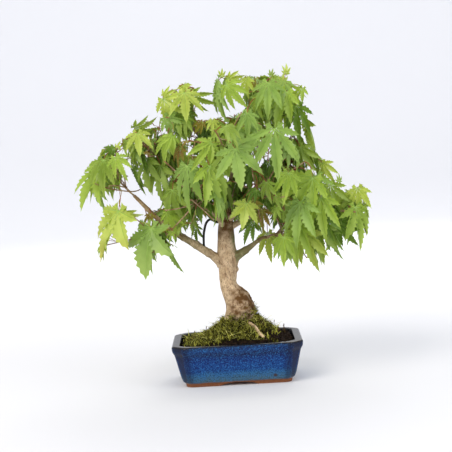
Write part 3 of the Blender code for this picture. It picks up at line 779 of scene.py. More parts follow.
@dataclass
class Trunk:
    """The trunk with its bark in relief, root flare, old wound, knee, stub and gash, and its
    surface roots. Each of these marks is given as its height and how far it reaches."""

    rings: int = 420
    sides: int = 120
    flare_top: float = 72.0
    flare_depth: float = 0.13
    flare_lobes: int = 5
    fissure_depth: float = 0.7
    lump_height: float = 0.55
    wound: tuple[float, float] = (75.0, 13.0)
    fork: tuple[float, float] = (121.0, 5.0)
    knee: tuple[float, float] = (93.5, 6.5)
    knee_depth: float = 2.5
    stub: tuple[float, float] = (110.0, 2.2)
    gash: tuple[float, float] = (163.0, 9.0)
    mossy: tuple[float, float] = (143.0, 12.0)
    # Roots: heading in degrees, reach, drop, radius at the trunk and at the tip
    roots: tuple[tuple[float, float, float, float, float], ...] = (
        (-58.0, 37.0, 24.0, 4.2, 1.5), (-150.0, 27.0, 20.0, 5.0, 2.0),
        (25.0, 27.0, 20.0, 5.0, 2.2), (130.0, 26.0, 20.0, 5.0, 2.2))
    root_rings: int = 34
    root_sides: int = 16
    root_top: float = 54.0
    root_start: float = 4.0

    def bark(self) -> Skin:
        """The trunk's skin.

        The radius is the solid's own, times its root ribs, plus lumps from noise of 13 and 6 mm,
        less fissures from noise that is 9 mm long and narrow, plus bells at the wound, the fork and
        the stub on the right, less bells at the knee and the gash.

        Returns:
            The skin with the values that the bark finish reads.
        """
        rows = curve_through(TRUNK_STATIONS, self.rings)
        radius, z = rows[:, 3:4], rows[:, 2:3]
        angle = ring_angles(self.sides)[None]
        # The ring's first spoke points to the left, and angles run from there to the front.
        right, front = -np.cos(angle), np.sin(angle)
        share = np.clip((self.flare_top - z) / (self.flare_top - GROUND), 0, 1)
        shape = 1 + self.flare_depth * share * np.cos(self.flare_lobes * angle + 0.6)
        lumps, grain, rough = (
            wrapped_noise(angle, z, *wide) + less * wrapped_noise(angle, z, *fine)
            for wide, less, fine in (((7, 13.0, 1), 0.6, (13, 6.0, 2)),
                                     ((40, 9.0, 3), 0.7, (60, 3.5, 4)),
                                     ((26, 2.6, 5), 0.6, (50, 1.3, 6))))
        crack = np.clip(-grain - 0.35, 0, 1)
        slim = np.clip(radius / 9.0, 0.15, 1.0)
        aside = 10.0 * np.arccos(np.clip(right * 0.7 + front * 0.71, -1, 1))
        wound = bell(np.hypot(z - self.wound[0], aside), self.wound[1])
        fork, knee, gash, mossy = (
            bell(z - height, reach)
            for height, reach in (self.fork, self.knee, self.gash, self.mossy))
        gash = gash * fade(front, 0.55, 0.95)
        relief = self.lump_height * slim * lumps * (1 + fade(-z, -95.0, -50.0))
        relief += wound * (1 + rough) + fork * np.clip(right, 0, 1) * 0.8
        relief -= self.fissure_depth * slim * crack + gash * 0.7
        relief -= knee * np.clip(right, 0, 1) ** 1.5 * self.knee_depth
        relief += bell(np.hypot(z - self.stub[0], 12 * (1 - right)), self.stub[1]) * 1.6
        algae = 0.75 * fade(right, 0.2, 0.9) * mossy + fade(-z, -72.0, -50.0) * 0.8
        scar = gash * 1.3 + wound * (1.4 - 0.7 * rough) + fade(z, 134.0, 156.0) * 0.8
        skin = Skin()
        skin.tube(rows[:, :3], radius * shape + relief, self.sides,
                  crack=np.clip(crack * 0.7, 0, 0.4), algae=np.clip(algae, 0, 1),
                  scar=np.clip(scar, 0, 1), shoot=fade(z, 185.0, 250.0) * 0.6)
        self.add_roots(skin)
        return skin

    def add_roots(self, skin: Skin) -> None:
        """Adds the surface roots: each line runs out and down from the trunk's foot on a bent
        curve, with a side sway of a sine, and its radius shrinks evenly with noise on it.

        Args:
            skin: what they are added to.
        """
        foot = np.array((*TRUNK_STATIONS[1][:2], self.root_top))
        share = np.linspace(0, 1, self.root_rings)
        for index, (heading, reach, drop, thick, thin) in enumerate(self.roots):
            ray = np.array((math.cos(math.radians(heading)), math.sin(math.radians(heading)), 0.0))
            sway = np.array((-ray[1], ray[0], 0.0))
            path = foot + np.outer(self.root_start + (reach - self.root_start) * share, ray)
            path += np.outer(1.1 * np.sin(share * 5.0 + index) * share, sway)
            path[:, 2] = np.maximum(self.root_top - drop * share ** 0.85, GROUND + GAP + thin * 1.3)
            noise = wrapped_noise(
                ring_angles(self.root_sides)[None], share[:, None] * reach, 6, 4.0, 30 + index)
            radii = (thick + (thin - thick) * share)[:, None] * (1 + 0.13 * noise)
            skin.tube(path, radii, self.root_sides, crack=0.0, algae=0.25 * (1 - share[:, None]),
                      scar=0.0, shoot=0.0)


@dataclass
class Boughs:
    """All boughs with their collars, leaf scars and bark, from the trunk out to their foliage."""

    skeleton: Skeleton
    spacing: float = 1.1
    sides: int = 28
    node_spacing: float = 15.0
    knob_at: tuple[float, float, float] = (-34.7, -3.0, 135.1)

    def bark(self) -> Skin:
        """The boughs' skin.

        Each radius is the solid's own, times a collar that swells towards what the bough grows
        from, times low rings at the leaf scars every node_spacing, plus bark noise and an old knob.
        The part before the parent's surface lies inside the parent.

        Returns:
            The skin with the values that the bark finish reads.
        """
        skin = Skin()
        angle = ring_angles(self.sides)[None]
        for index, limb in enumerate(LIMBS):
            stations = self.skeleton.stations[limb.name]
            length = way_length(stations)
            count = max(24, round(length / self.spacing))
            path = curve_through(stations, count)
            share = np.linspace(0, 1, count)[:, None]
            along = share * length
            places, widths = self.skeleton.paths[limb.parent]
            wide = widths[np.argmin(np.linalg.norm(places - path[0], axis=1))]
            swell = 1 + limb.stout * bell(share - 0.35, 0.35)
            collar = 1 + 0.6 * bell(along, 1.15 * wide)
            past = np.mod(along + 3.0 * index, self.node_spacing) - self.node_spacing / 2
            lumps = wrapped_noise(angle, along, 5, 9.0, 40 + index)
            grain = wrapped_noise(angle, along, 14, 5.0, 60 + index)
            knob = (bell(np.linalg.norm(path - self.knob_at, axis=1)[:, None], 4.5)
                    * fade(-np.sin(angle + 0.5), 0.2, 0.9))
            radii = limb.radius(share) * swell * collar * (1 + 0.14 * bell(past, 1.3))
            radii = radii * (1 + 0.08 * lumps + 0.05 * grain) + 1.2 * knob
            young = fade(share, 0.15, 0.95) if limb.parent == "trunk" else 0.8
            skin.tube(path, radii, self.sides,
                      crack=np.clip(-grain - 0.3, 0, 0.7) * (1 - 0.6 * young),
                      algae=limb.algae * fade(share, 0.0, 0.4), scar=knob * 0.8 + 0.12,
                      shoot=0.4 * young)
        return skin


# The crown


class Tint(Enum):
    """The crown's greens, from painted sunlight to painted shade, and the copper of young leaves.
    """

    SUNLIT = "leaves_sunlit_green"
    FRESH = "leaves_fresh_green"
    MID = "leaves_mid_green"
    BLUISH = "leaves_bluish_green"
    PAINTED_SHADE = "leaves_painted_shade_green"
    YOUNG = "young_copper_leaves"


# The tints are lit and shaded copies of one leaf, with light and shade painted into their colours.
LEAF_FINISHES = {
    Tint.SUNLIT: LeafFinish("maple_leaf_sunlit", "#BFCE62", "#A6B748", "#D0DC56"),
    Tint.FRESH: LeafFinish("maple_leaf_fresh", "#ABC554", "#92AE40", "#C4D64E"),
    Tint.MID: LeafFinish("maple_leaf_mid", "#94AB4C", "#7E9838", "#B8CC42"),
    Tint.BLUISH: LeafFinish("maple_leaf_bluish", "#99B75C", "#82A14E", "#B0C852"),
    # Painted shade: the darkest greens, for leaves deep inside the crown.
    Tint.PAINTED_SHADE: LeafFinish("maple_leaf_painted_shade", "#6C8D32", "#4C6C20", "#92AE34", "#92AA50"),
    Tint.YOUNG: LeafFinish("maple_leaf_young", "#8E8C34", "#86682E", "#A08830", "#8E9436"),
}

# Finishes of the plain pieces: material, two near colours, grain in mm, roughness and relief in mm
PLAIN_FINISHES = {piece: PlainFinish(*row) for piece, row in {
    "leaf_veins": ("pale_vein", "#A2C066", "#8AAE50", 4.0, 0.5),
    "red_stalks": ("red_leaf_stalk", "#A8654A", "#84442F", 3.0, 0.5),
    "green_stalks": ("green_leaf_stalk", "#A8A050", "#868A3A", 3.0, 0.5),
    "soil": ("damp_potting_soil", "#30241B", "#0F0A07", 2.2, 0.9, 0.8),
    "dark_moss": ("dark_moss", "#38360F", "#191807", 1.5, 0.7),
    "olive_moss": ("olive_moss", "#7E7C2E", "#52501C", 1.5, 0.7),
    "bright_moss": ("bright_moss", "#D2CE5C", "#9A9C3C", 1.5, 0.7),
    "moss_straw": ("long_moss_strand", "#CFCB74", "#8C9440", 6.0, 0.6),
    "moss_capsules": ("moss_capsule", "#6A5530", "#33281A", 1.0, 0.6),
    "root_fibres": ("pale_root", "#C9AE8C", "#8F7352", 1.2, 0.7),
}.items()}


@dataclass
class Leaf:
    """One leaf: where its stalk leaves the twig, its hub, and how its blade lies."""

    foot: Array
    hub: Array
    axis: Array
    normal: Array
    length: float
    droop: float = 0.3
    fold: float = 0.3
    sag: float = 0.06
    slim: float = 0.85
    close: float = 0.3
    dry: float = 0.0
    tint: Tint = Tint.MID
    wave: float = 0.0

    @property
    def across(self) -> Array:
        """The direction across the blade."""
        return np.cross(self.normal, self.axis)

    def flat(self, turns: Array, reach: Array) -> Array:
        """Points of its plane from its hub, by their angles from its axis and their reaches."""
        return (np.outer(reach * np.cos(turns), self.axis)
                + np.outer(reach * np.sin(turns), self.across))


@dataclass(frozen=True)
class FrontView:
    """The view of the photograph. Places in it are across and up from its middle, in millimetres at
    the trunk's distance, where one is also one picture point."""

    distance: float = 1200.0
    height: float = 245.0
    look: float = 154.0
    angle: float = 21.3
    roll: float = 3.3
    picture: float = 452.0
    shift: float = 4.5

    @property
    def camera(self) -> Array:
        """Where the camera stands."""
        return np.array((0.0, -self.distance, self.height))

    @property
    def focal(self) -> float:
        """The distance at which a picture point is as wide as a millimetre."""
        return self.picture / 2 / math.tan(math.radians(self.angle / 2))

    @property
    def axes(self) -> Array:
        """The view's own directions.

        Returns:
            Its right, up and forward, as rows.
        """
        forward = unit(np.array((0.0, self.distance, self.look - self.height)))
        level, upright = np.array((1.0, 0.0, 0.0)), np.cross((1.0, 0.0, 0.0), forward)
        turn = math.radians(self.roll)
        return np.array((math.cos(turn) * level - math.sin(turn) * upright,
                         math.sin(turn) * level + math.cos(turn) * upright, forward))

    def place(self, across: float, up: float, depth: float) -> Array:
        """The point at a place in the view whose Y is depth."""
        ray = np.array((across, up, self.focal)) @ self.axes
        return self.camera + ray * (depth + self.distance) / ray[1]

    def seen(self, points: Array) -> Array:
        """Where points show in the view."""
        ray = (points - self.camera) @ self.axes.T
        return ray[:, :2] * self.focal / ray[:, 2:]


@dataclass(frozen=True)
class KnownLeaf:
    """A leaf that shows plainly from the front: its hub's place in the view and its depth, the
    heading of its middle lobe in degrees from straight down towards the right, its length, the turn
    of its blade away from the view, the lean of its tip towards it, and how broad and how closed
    its lobes are."""

    across: float
    up: float
    depth: float
    heading: float
    length: float
    turn: float
    lean: float
    tint: Tint
    slim: float = 0.9
    close: float = 0.35
    dry: float = 0.0
    droop: float = 0.25
    fold: float = 0.7
    sag: float = 0.03

    def leaf(self, view: FrontView) -> Leaf:
        """Puts the leaf in its place.

        Args:
            view: the view from the front.

        Returns:
            The leaf, with no foot yet.
        """
        right, up, forward = view.axes
        heading, lean, turn = np.radians((self.heading, self.lean, self.turn))
        axis = math.cos(lean) * (math.sin(heading) * right - math.cos(heading) * up)
        axis = axis - math.sin(lean) * forward
        face = unit(-forward + axis * (forward @ axis))
        normal = face * math.cos(turn) + np.cross(axis, face) * math.sin(turn)
        hub = view.place(self.across, self.up, self.depth)
        length = self.length * (self.depth + view.distance) / view.distance
        droop = self.droop * math.cos(turn)
        return Leaf(hub, hub, axis, normal, length, droop, self.fold, self.sag, self.slim,
                    self.close, self.dry, self.tint)


SUNLIT, FRESH, MID, BLUISH, PAINTED_SHADE, YOUNG = (
    Tint.SUNLIT, Tint.FRESH, Tint.MID, Tint.BLUISH, Tint.PAINTED_SHADE, Tint.YOUNG)

# Each known leaf's tint paints in the light or shade that falls on it.
KNOWN_LEAVES = tuple(KnownLeaf(*row) for row in (
    # Far left
    (-133, 57, 0, -26, 41, 40, 5, FRESH), (-127, 66, -18, -5, 33, 15, 10, MID),
    (-118, 54, 5, 0, 26, 40, 0, MID), (-133, 50, 12, 8, 34, 78, 0, BLUISH),
    (-115, 69, -28, 28, 25, 0, 25, FRESH), (-93, 93, -24, 8, 26, 0, 35, SUNLIT, 0.9, 0.05),
    (-96, 98, -5, 105, 23, 50, 5, MID), (-97, 60, 10, 24, 29, 72, 0, PAINTED_SHADE),
    (-83, 68, -10, 0, 33, 40, 0, MID), (-70, 60, -12, -5, 38, 40, 0, MID),
    (-61, 44, -10, -4, 32, 50, 0, FRESH), (-116, 77, -14, -75, 14, 20, 5, PAINTED_SHADE),
    (-106, 80, -12, 165, 10, 10, 0, YOUNG), (-122, 75, -10, 150, 8, 10, 0, MID),
    (-104, 86, -14, 20, 17, 25, 10, MID),
    # The two leaves that hang on the left, and what is round them
    (-112, 15, -22, -22, 49, 44, 5, SUNLIT, 1.05, -0.05, 0.45),
    (-79, -2, -30, -15, 46, 42, 5, BLUISH, 1.0, -0.55), (-64, -14, -5, 21, 34, 80, 0, BLUISH),
    (-59, 19, 4, 8, 34, -20, 5, BLUISH), (-80, 12, -14, -10, 14, 20, 10, YOUNG),
    (-107, 14, -18, 80, 20, 55, 10, SUNLIT), (-63, 14, -22, 24, 24, 15, 10, FRESH),
    (-50, 18, -12, -8, 24, 30, 5, MID),
    # Upper left
    (-46, 133, -26, 5, 32, 0, 35, SUNLIT, 0.9, 0.0), (-40, 130, -18, 70, 27, 25, 5, MID, 0.8, 0.5),
    (-67, 127, -24, 30, 33, 35, 5, SUNLIT), (-67, 130, -20, 118, 14, 20, 10, SUNLIT),
    (-65, 108, -28, 48, 28, 20, 5, BLUISH), (-58, 90, -40, -25, 20, 0, 20, FRESH),
    (-64, 88, -30, -8, 24, 20, 10, FRESH), (-44, 108, -30, -6, 20, 25, 15, MID),
    (-18, 106, -44, 0, 15, 0, 25, SUNLIT), (-28, 104, -34, -40, 14, 15, 10, YOUNG),
    (-50, 78, -36, -12, 18, 30, 10, YOUNG), (-52, 97, -24, 5, 17, 30, 5, MID),
    (-38, 9, -16, -5, 17, 25, 5, MID),
    # Middle
    (-43, 60, -56, 2, 46, 35, 5, BLUISH, 0.85, 0.5),
    (-21, 60, -72, 14, 50, -35, 5, FRESH, 1.0, 0.55), (-19, 83, -62, -37, 31, 0, 20, FRESH),
    (5, 77, -84, 8, 41, 0, 25, BLUISH, 0.9, -0.1), (-58, 36, -30, 12, 30, 25, 5, MID),
    (-30, 34, -34, 0, 29, 10, 5, PAINTED_SHADE), (-34, 0, 6, 0, 17, 40, 0, PAINTED_SHADE, 0.8),
    (17, 113, -62, 0, 26, 0, 25, BLUISH), (-4, 141, -38, 42, 29, 15, 10, FRESH, 1.0, 0.4),
    (-12, 146, -20, 4, 40, 76, 0, BLUISH, 0.8, 0.6), (-2, 147, -26, 100, 16, 20, 10, SUNLIT),
    (-9, 149, -22, 175, 9, 10, 0, SUNLIT), (16, 147, -32, 0, 18, 20, 10, SUNLIT),
    (24, 136, -20, 178, 14, 30, 0, YOUNG), (8, 84, -60, 105, 12, 10, 10, SUNLIT),
    (12, 86, -55, 70, 13, 10, 15, YOUNG), (16, 23, -62, -10, 26, 0, 22, SUNLIT, 1.05, 0.0),
    (23, 4, -28, -32, 23, 30, 0, PAINTED_SHADE), (32, 16, -48, 0, 22, 35, 5, YOUNG),
    (37, -7, 6, 6, 28, 15, 0, SUNLIT), (22, 60, -48, -14, 24, 25, 5, PAINTED_SHADE),
    (38, 64, -44, 12, 26, 30, 5, PAINTED_SHADE), (49, 52, -46, -8, 22, 35, 5, PAINTED_SHADE),
    (24, 36, -44, -30, 17, 30, 5, MID), (42, 34, -44, 8, 17, 20, 10, YOUNG),
    (66, 46, -46, 6, 20, 25, 5, PAINTED_SHADE), (50, 26, -42, 70, 17, 20, 5, FRESH),
    (8, 50, -20, 0, 26, 45, 5, PAINTED_SHADE), (36, 44, -74, 8, 21, 20, 5, MID),
    (26, 36, -76, -38, 15, 15, 5, PAINTED_SHADE), (45, 30, -72, 50, 16, 20, 5, MID),
    (22, 26, -60, 40, 15, 25, 5, YOUNG), (46, 19, -52, -10, 15, 20, 5, FRESH),
    (54, 15, -52, 20, 14, 20, 5, MID),
    # Upper right
    (38, 143, -54, -2, 34, 10, 8, BLUISH), (56, 134, -38, -22, 35, 20, 5, FRESH, 1.05, 0.4),
    (58, 131, -28, 2, 27, 50, 0, BLUISH), (44, 97, -88, 4, 48, 0, 5, BLUISH, 0.78, 0.15),
    (66, 120, -26, 2, 35, 12, 5, PAINTED_SHADE, 0.9, 0.5), (76, 106, -5, 14, 41, 78, 0, MID),
    (70, 79, -18, 30, 27, 30, 5, MID), (92, 63, -8, 28, 22, 20, 5, SUNLIT),
    (72, 138, -16, -30, 18, 30, 5, FRESH), (55, 152, -12, 170, 11, 25, 0, SUNLIT),
    (58, 53, -74, -10, 30, 0, 15, FRESH), (40, 150, -30, 160, 8, 20, 0, MID),
    (36, 130, -46, -60, 16, 20, 5, FRESH), (26, 128, -40, 15, 22, 30, 5, MID),
    # Right
    (85, 50, -44, -3, 40, 20, 5, BLUISH), (82, 48, -56, -33, 50, 15, 5, FRESH),
    (53, -11, -48, 0, 28, 15, 5, FRESH), (69, 2, -42, -11, 42, 30, 0, FRESH),
    (73, -6, -36, 19, 40, 20, 0, SUNLIT), (88, 2, -26, 6, 38, 20, 0, MID),
    (101, -2, -16, 8, 31, 60, 0, BLUISH), (93, 12, -38, 20, 28, 25, 5, PAINTED_SHADE),
    (107, 4, -22, 39, 29, 15, 5, PAINTED_SHADE), (127, 38, -12, 5, 28, 15, 10, SUNLIT),
    (125, 19, -20, 8, 41, -35, 0, FRESH), (122, 29, -8, -78, 24, 30, 10, MID),
    (134, 23, -4, 15, 20, 80, 0, MID), (100, 41, -14, 20, 30, 20, 5, MID),
    (108, 44, -6, 170, 9, 30, 0, FRESH), (70, 24, -60, -6, 44, 30, 5, BLUISH),
    (90, 28, -50, 4, 40, 15, 5, FRESH)))

# The crown's edge in the view from the front, which no other leaf crosses, as places in the view
CROWN_EDGE = (
    (-152, 20), (-152, 36), (-147, 55), (-142, 64), (-131, 66), (-134, 78), (-118, 84), (-110, 86),
    (-100, 96), (-100, 104), (-91, 110), (-77, 105), (-77, 97), (-70, 106), (-72, 130), (-66, 136),
    (-57, 137), (-55, 143), (-45, 143), (-33, 149), (-32, 136), (-12, 121), (-28, 116), (-26, 107),
    (-14, 108), (-16, 138), (-14, 158), (-8, 158), (14, 151), (24, 150), (32, 154), (48, 152),
    (55, 162), (60, 156), (64, 147), (74, 141), (76, 126), (76, 112), (79, 100), (87, 78),
    (93, 66), (104, 54), (105, 46), (112, 45), (117, 33), (124, 43), (129, 46), (139, 36),
    (141, 20), (140, 4), (134, -24), (126, -18), (110, -14), (107, -32), (102, -32), (95, -40),
    (90, -36), (87, -45), (82, -44), (70, -30), (62, -42), (52, -40), (46, -34), (33, -36),
    (26, -22), (34, -10), (24, 2), (12, -14), (8, 2), (-6, 4), (-14, 4), (-24, 2), (-24, -14),
    (-34, -13), (-48, -8), (-52, -46), (-58, -42), (-66, -18), (-74, -38), (-84, -53), (-92, -36),
    (-96, -28), (-98, -16), (-108, -8), (-114, -6), (-124, -28), (-130, -32), (-136, -32),
    (-131, -8), (-128, 4), (-120, 10), (-122, 22), (-112, 30), (-106, 26), (-104, 20), (-92, 14),
    (-82, 14), (-104, 36), (-112, 36), (-118, 30), (-128, 16), (-134, 30), (-142, 24))

# The gaps in the crown where the sky shows: across and up of the middle, half width, half height
SKY_GAPS = (
    (-22, 2, 5, 7), (-91, -2, 5, 13), (-70, -28, 5, 8), (-122, 6, 4, 6), (-23, 118, 9, 7),
    (-98, 44, 7, 10), (-78, 25, 9, 10), (-97, 20, 9, 4), (-122, 27, 4, 6), (-17, -9, 6, 13),
    (-42, -7, 7, 4), (8, -9, 4, 14), (20, -10, 5, 5), (42, 10, 3, 3), (48, -3, 8, 4),
    (27, 46, 4, 4), (30, 40, 6, 4), (-1, 116, 8, 8), (7, 141, 5, 2), (32, 123, 3, 4),
    (65, 134, 4, 5), (64, 98, 4, 7), (79, 83, 6, 4), (79, 60, 5, 6), (55, 64, 5, 3),
    (41, 58, 3, 6), (73, 125, 4, 3), (-55, 119, 3, 4), (-78, 76, 3, 3), (-81, 88, 4, 4),
    (-58, 51, 3, 5), (-90, 58, 2, 5), (-76, 42, 4, 7), (96, 39, 3, 4), (116, 13, 3, 4),
    (-38, 91, 3, 6), (32, 100, 4, 3))


@dataclass
class Soup:
    """Points and faces gathered for a search tree."""

    points: list[tuple[float, ...]] = field(default_factory=list)
    faces: list[tuple[int, ...]] = field(default_factory=list)

    def add(self, points: Iterable[Array], faces: Iterable[Sequence[int]]) -> None:
        """Adds a block.

        Args:
            points: of the block.
            faces: numbered from the block's own start.
        """
        start = len(self.points)
        self.faces += [tuple(i + start for i in face) for face in faces]
        self.points += [tuple(point) for point in points]

    def tree(self) -> BVHTree:
        """The search tree."""
        return BVHTree.FromPolygons(self.points, self.faces)


@dataclass
class Outlook:
    """What other leaves must leave open in the view from the front: the sky round the crown, the
    gaps in it, and the leaves that show plainly."""

    view: FrontView
    known: list[Leaf]
    most_hidden: int = 2
    # Half of a leaf's rim, from the tip: degrees from its axis, and reach as a share of its length
    rim: tuple[tuple[float, float], ...] = (
        (0, 1.0), (21, 0.4), (42, 0.85), (63, 0.4), (84, 0.6), (110, 0.2))

    def __post_init__(self) -> None:
        """Sets up the edge, the gaps and a search tree of the leaves that show plainly."""
        self.edge, gaps = np.array(CROWN_EDGE, float), np.array(SKY_GAPS, float)
        self.gap_middles, self.gap_sizes = gaps[:, :2], gaps[:, 2:]
        half = np.array(self.rim)
        turns, reach = np.concatenate((half[::-1] * (-1, 1), half[1:])).T
        soup = Soup()
        for leaf in self.known:
            rim = leaf.hub + leaf.length * leaf.flat(np.radians(turns), reach)
            soup.add([leaf.hub, *rim], [(0, i, i + 1) for i in range(1, len(rim))])
        self.cover = soup.tree()

    def leaves_open(self, points: Array) -> bool:
        """Whether points stay inside the crown's edge, out of its gaps and clear of the known
        leaves.

        Inside is told by counting the edge's crossings of a line to the right of each point.

        Args:
            points: of shape (points, 3).

        Returns:
            Whether all do.
        """
        seen = self.view.seen(points)
        away = np.linalg.norm((seen[:, None] - self.gap_middles) / self.gap_sizes, axis=2)
        if (away < 1).any():
            return False
        x, y = seen[:, 0:1], seen[:, 1:2]
        start, end = self.edge, np.roll(self.edge, -1, axis=0)
        spans = (start[:, 1] > y) != (end[:, 1] > y)
        rise = np.where(end[:, 1] == start[:, 1], 1e-9, end[:, 1] - start[:, 1])
        crossing = start[:, 0] + (y - start[:, 1]) / rise * (end[:, 0] - start[:, 0])
        if ((spans & (x < crossing)).sum(axis=1) % 2 == 0).any():
            return False
        hidden = 0
        for point in points:
            away = Vector(point - self.view.camera)
            hidden += self.cover.ray_cast(Vector(point), away)[0] is not None
            if hidden > self.most_hidden:
                return False
        return True


@dataclass
class Spray:
    """What grows from one bough: its twigs as paths with radii, its leaves, and its young tips."""

    twigs: list[tuple[Array, Array]]
    leaves: list[Leaf]
    fine_twigs: list[tuple[Array, Array]] = field(default_factory=list)
    tips: list[Leaf] = field(default_factory=list)
    shortest_share: float = 0.1

    def prune(self, outlook: Outlook) -> None:
        """Cuts each shoot that ends where the sky shows back to its outermost leaf, or to a stub.

        Args:
            outlook: what must stay open from the front.
        """
        for number, (path, radii) in enumerate(self.twigs[1:], 1):
            if outlook.leaves_open(path[-1:]):
                continue
            way = path[-1] - path[0]
            most = self.shortest_share
            for leaf in self.leaves:
                share = (leaf.foot - path[0]) @ way / (way @ way)
                if share < 1.01 and np.linalg.norm(path[0] + way * share - leaf.foot) < GAP:
                    most = max(most, share)
            self.twigs[number] = (np.array([path[0], path[0] + way * most]), radii)


@dataclass
class GrowthRule:
    """The solids' rule for twigs and leaves, repeated number for number, and its finer growth."""

    skeleton: Skeleton
    stem_radii: tuple[float, float] = (1.5, 1.1)
    shoot_radii: tuple[float, float] = (1.1, 0.8)
    petiole_radius: float = 0.55
    stem_reach: float = 0.75
    stem_rings: int = 4
    shoot_reach: float = 0.72
    place_tries: int = 40
    pair_shares: tuple[float, ...] = (1.0, 0.8, 0.6, 0.4, 0.2)
    lengths: tuple[float, float] = (26.0, 46.0)
    petiole_share: tuple[float, float] = (0.25, 0.5)
    least_backing: float = 0.2
    leaf_tries: int = 100
    hub_thickness: float = 1.3
    space_margin: float = 0.25
    limb_margin: float = 0.6
    bough_sides: int = 6
    twig_sides: int = 3
    lobes: tuple[tuple[float, float], ...] = (
        (-84.0, 0.62), (-42.0, 0.9), (0.0, 1.0), (42.0, 0.9), (84.0, 0.62))
    notch_share: float = 0.42
    base_angle: float = 155.0
    base_share: float = 0.06
    fine_lengths: tuple[float, float] = (15.0, 30.0)
    fine_reach: tuple[float, float] = (8.0, 20.0)
    fine_tries: int = 60
    late_loss: float = 0.5
    fine_radii: tuple[float, float] = (0.6, 0.4)
    tip_lengths: tuple[float, float] = (7.0, 13.0)

    def __post_init__(self) -> None:
        """Sets up the outline of the solids' blade, the spaces and what no leaf may touch."""
        rows = [(-self.base_angle, self.base_share), self.lobes[0]]
        for (before, _), lobe in zip(self.lobes, self.lobes[1:]):
            rows += [(0.5 * (before + lobe[0]), self.notch_share), lobe]
        rows.append((self.base_angle, self.base_share))
        turns, self.out_share = np.array(rows).T
        self.out_angle = np.radians(turns)
        self.centres, self.sizes = (np.array([getattr(mass, key) for mass in MASSES], float)
                                    for key in ("centre", "size"))
        self.means = self.sizes.mean(axis=1)
        wire = curve_through(TrainingWire.route, TrainingWire.solid_rings)
        limbs = [*self.skeleton.paths.values(), (wire, np.full(len(wire), TrainingWire.radius))]
        self.walls = self.tube_tree([(path, radii + self.limb_margin) for path, radii in limbs],
                                    self.bough_sides)
        last = len(rows) - 1
        top, under, keel = last + 1, last + 2, last + 3
        ring, end = (0, last, keel), (keel + 1, keel + 2, keel + 3)
        self.blade_faces = [(top, i, i + 1) for i in range(last)]
        self.blade_faces += [(under, i + 1, i) for i in range(last)]
        self.leaf_faces = [*self.blade_faces, (top, last, 0), (under, 0, keel), (under, keel, last)]
        for a, b in ((0, 1), (1, 2), (2, 0)):
            self.leaf_faces += [(ring[a], ring[b], end[b]), (ring[a], end[b], end[a])]
        self.leaf_faces.append(end)

    @staticmethod
    def tube_tree(tubes: Iterable[tuple[Array, Array]], sides: int) -> BVHTree:
        """A search tree of tubes.

        Args:
            tubes: each a path with its radii.
            sides: points in a ring.

        Returns:
            The tree.
        """
        soup = Soup()
        for path, radii in tubes:
            soup.add(*ring_skin(path, radii, sides))
        return soup.tree()

    def leaf_points(self, leaf: Leaf) -> Array:
        """The points of the solids' leaf.

        Args:
            leaf: the leaf.

        Returns:
            Its outline, its hub above and below, and its stalk.
        """
        across = leaf.across
        flat = leaf.flat(self.out_angle, self.out_share * leaf.length)
        outline = leaf.hub + flat - np.outer(
            leaf.droop * leaf.length * self.out_share ** 1.8, leaf.normal)
        middle = 0.5 * (outline[0] + outline[-1])
        down = unit(leaf.foot - middle)
        side = unit(across - down * (across @ down))
        below = np.cross(down, side)
        half = leaf.normal * self.hub_thickness / 2
        r = self.petiole_radius
        return np.vstack([outline, leaf.hub + half, leaf.hub - half, middle + below * r * 1.6,
                          leaf.foot - side * r, leaf.foot + side * r, leaf.foot + below * r * 1.5])

    def in_space(self, points: Array, index: int) -> bool:
        """Whether all points lie in a mass's own space: inside its oval, and nearer to its middle
        than to any other's, by distance squared less the mass's mean size squared.

        Args:
            points: of shape (points, 3).
            index: the mass's number.

        Returns:
            Whether all do.
        """
        own = (points - self.centres[index]) / self.sizes[index]
        if (np.einsum("ij,ij->i", own, own) > 1.0).any():
            return False
        power = ((points[:, None, :] - self.centres[None]) ** 2).sum(axis=2) - self.means ** 2
        apart = np.linalg.norm(self.centres - self.centres[index], axis=1)
        short = power - power[:, [index]] - 2 * self.space_margin * apart
        short[:, index] = 1.0
        return bool((short > 0).all())

    def free_place(self, index: int, ends: list[Array], rng: random.Random) -> Array:
        """A place for a shoot to end at: of a few at random, the one furthest from the ends there.

        Args:
            index: the mass's number.
            ends: where the stem and shoots so far end.
            rng: draws the places.

        Returns:
            The place, or the mass's middle where none is free.
        """
        best, most = self.centres[index], -1.0
        for _ in range(self.place_tries):
            place = np.array([rng.uniform(-1, 1) for _ in range(3)])
            if np.linalg.norm(place) > 1.0:
                continue
            place = self.centres[index] + place * self.sizes[index] * self.shoot_reach
            room = min(np.linalg.norm(place - end) for end in ends)
            if room > most and self.in_space(place[None], index):
                best, most = place, room
        return best

    def twigs(self, index: int, rng: random.Random) -> list[tuple[Array, Array]]:
        """The stem of a mass and the shoots along it. A shoot that would leave the space or touch a
        limb is skipped.

        Args:
            index: the mass's number.
            rng: draws where shoots start and end.

        Returns:
            Paths with their radii, the stem first.
        """
        mass = MASSES[index]
        places = self.skeleton.paths[mass.limb][0]
        heading = unit(places[-1] - places[-2])
        start = places[-1] + heading * GAP
        end = places[-1] + (self.centres[index] - places[-1]) * self.stem_reach
        knee = start + heading * np.linalg.norm(end - start) * 0.45
        stem = bent(start, knee, end, np.linspace(0, 1, self.stem_rings)[:, None])
        grown = [(stem, np.linspace(*self.stem_radii, self.stem_rings))]
        ends = [stem[-1]]
        for _ in range(mass.shoots):
            target = self.free_place(index, ends, rng)
            foot = stem[1 + round(rng.random() * 2)]
            shoot = np.array([foot, target]), np.array(self.shoot_radii)
            if not self.in_space(target[None], index):
                continue
            if not self.tube_tree([shoot], self.twig_sides).overlap(self.walls):
                grown.append(shoot)
                ends.append(target)
        return grown

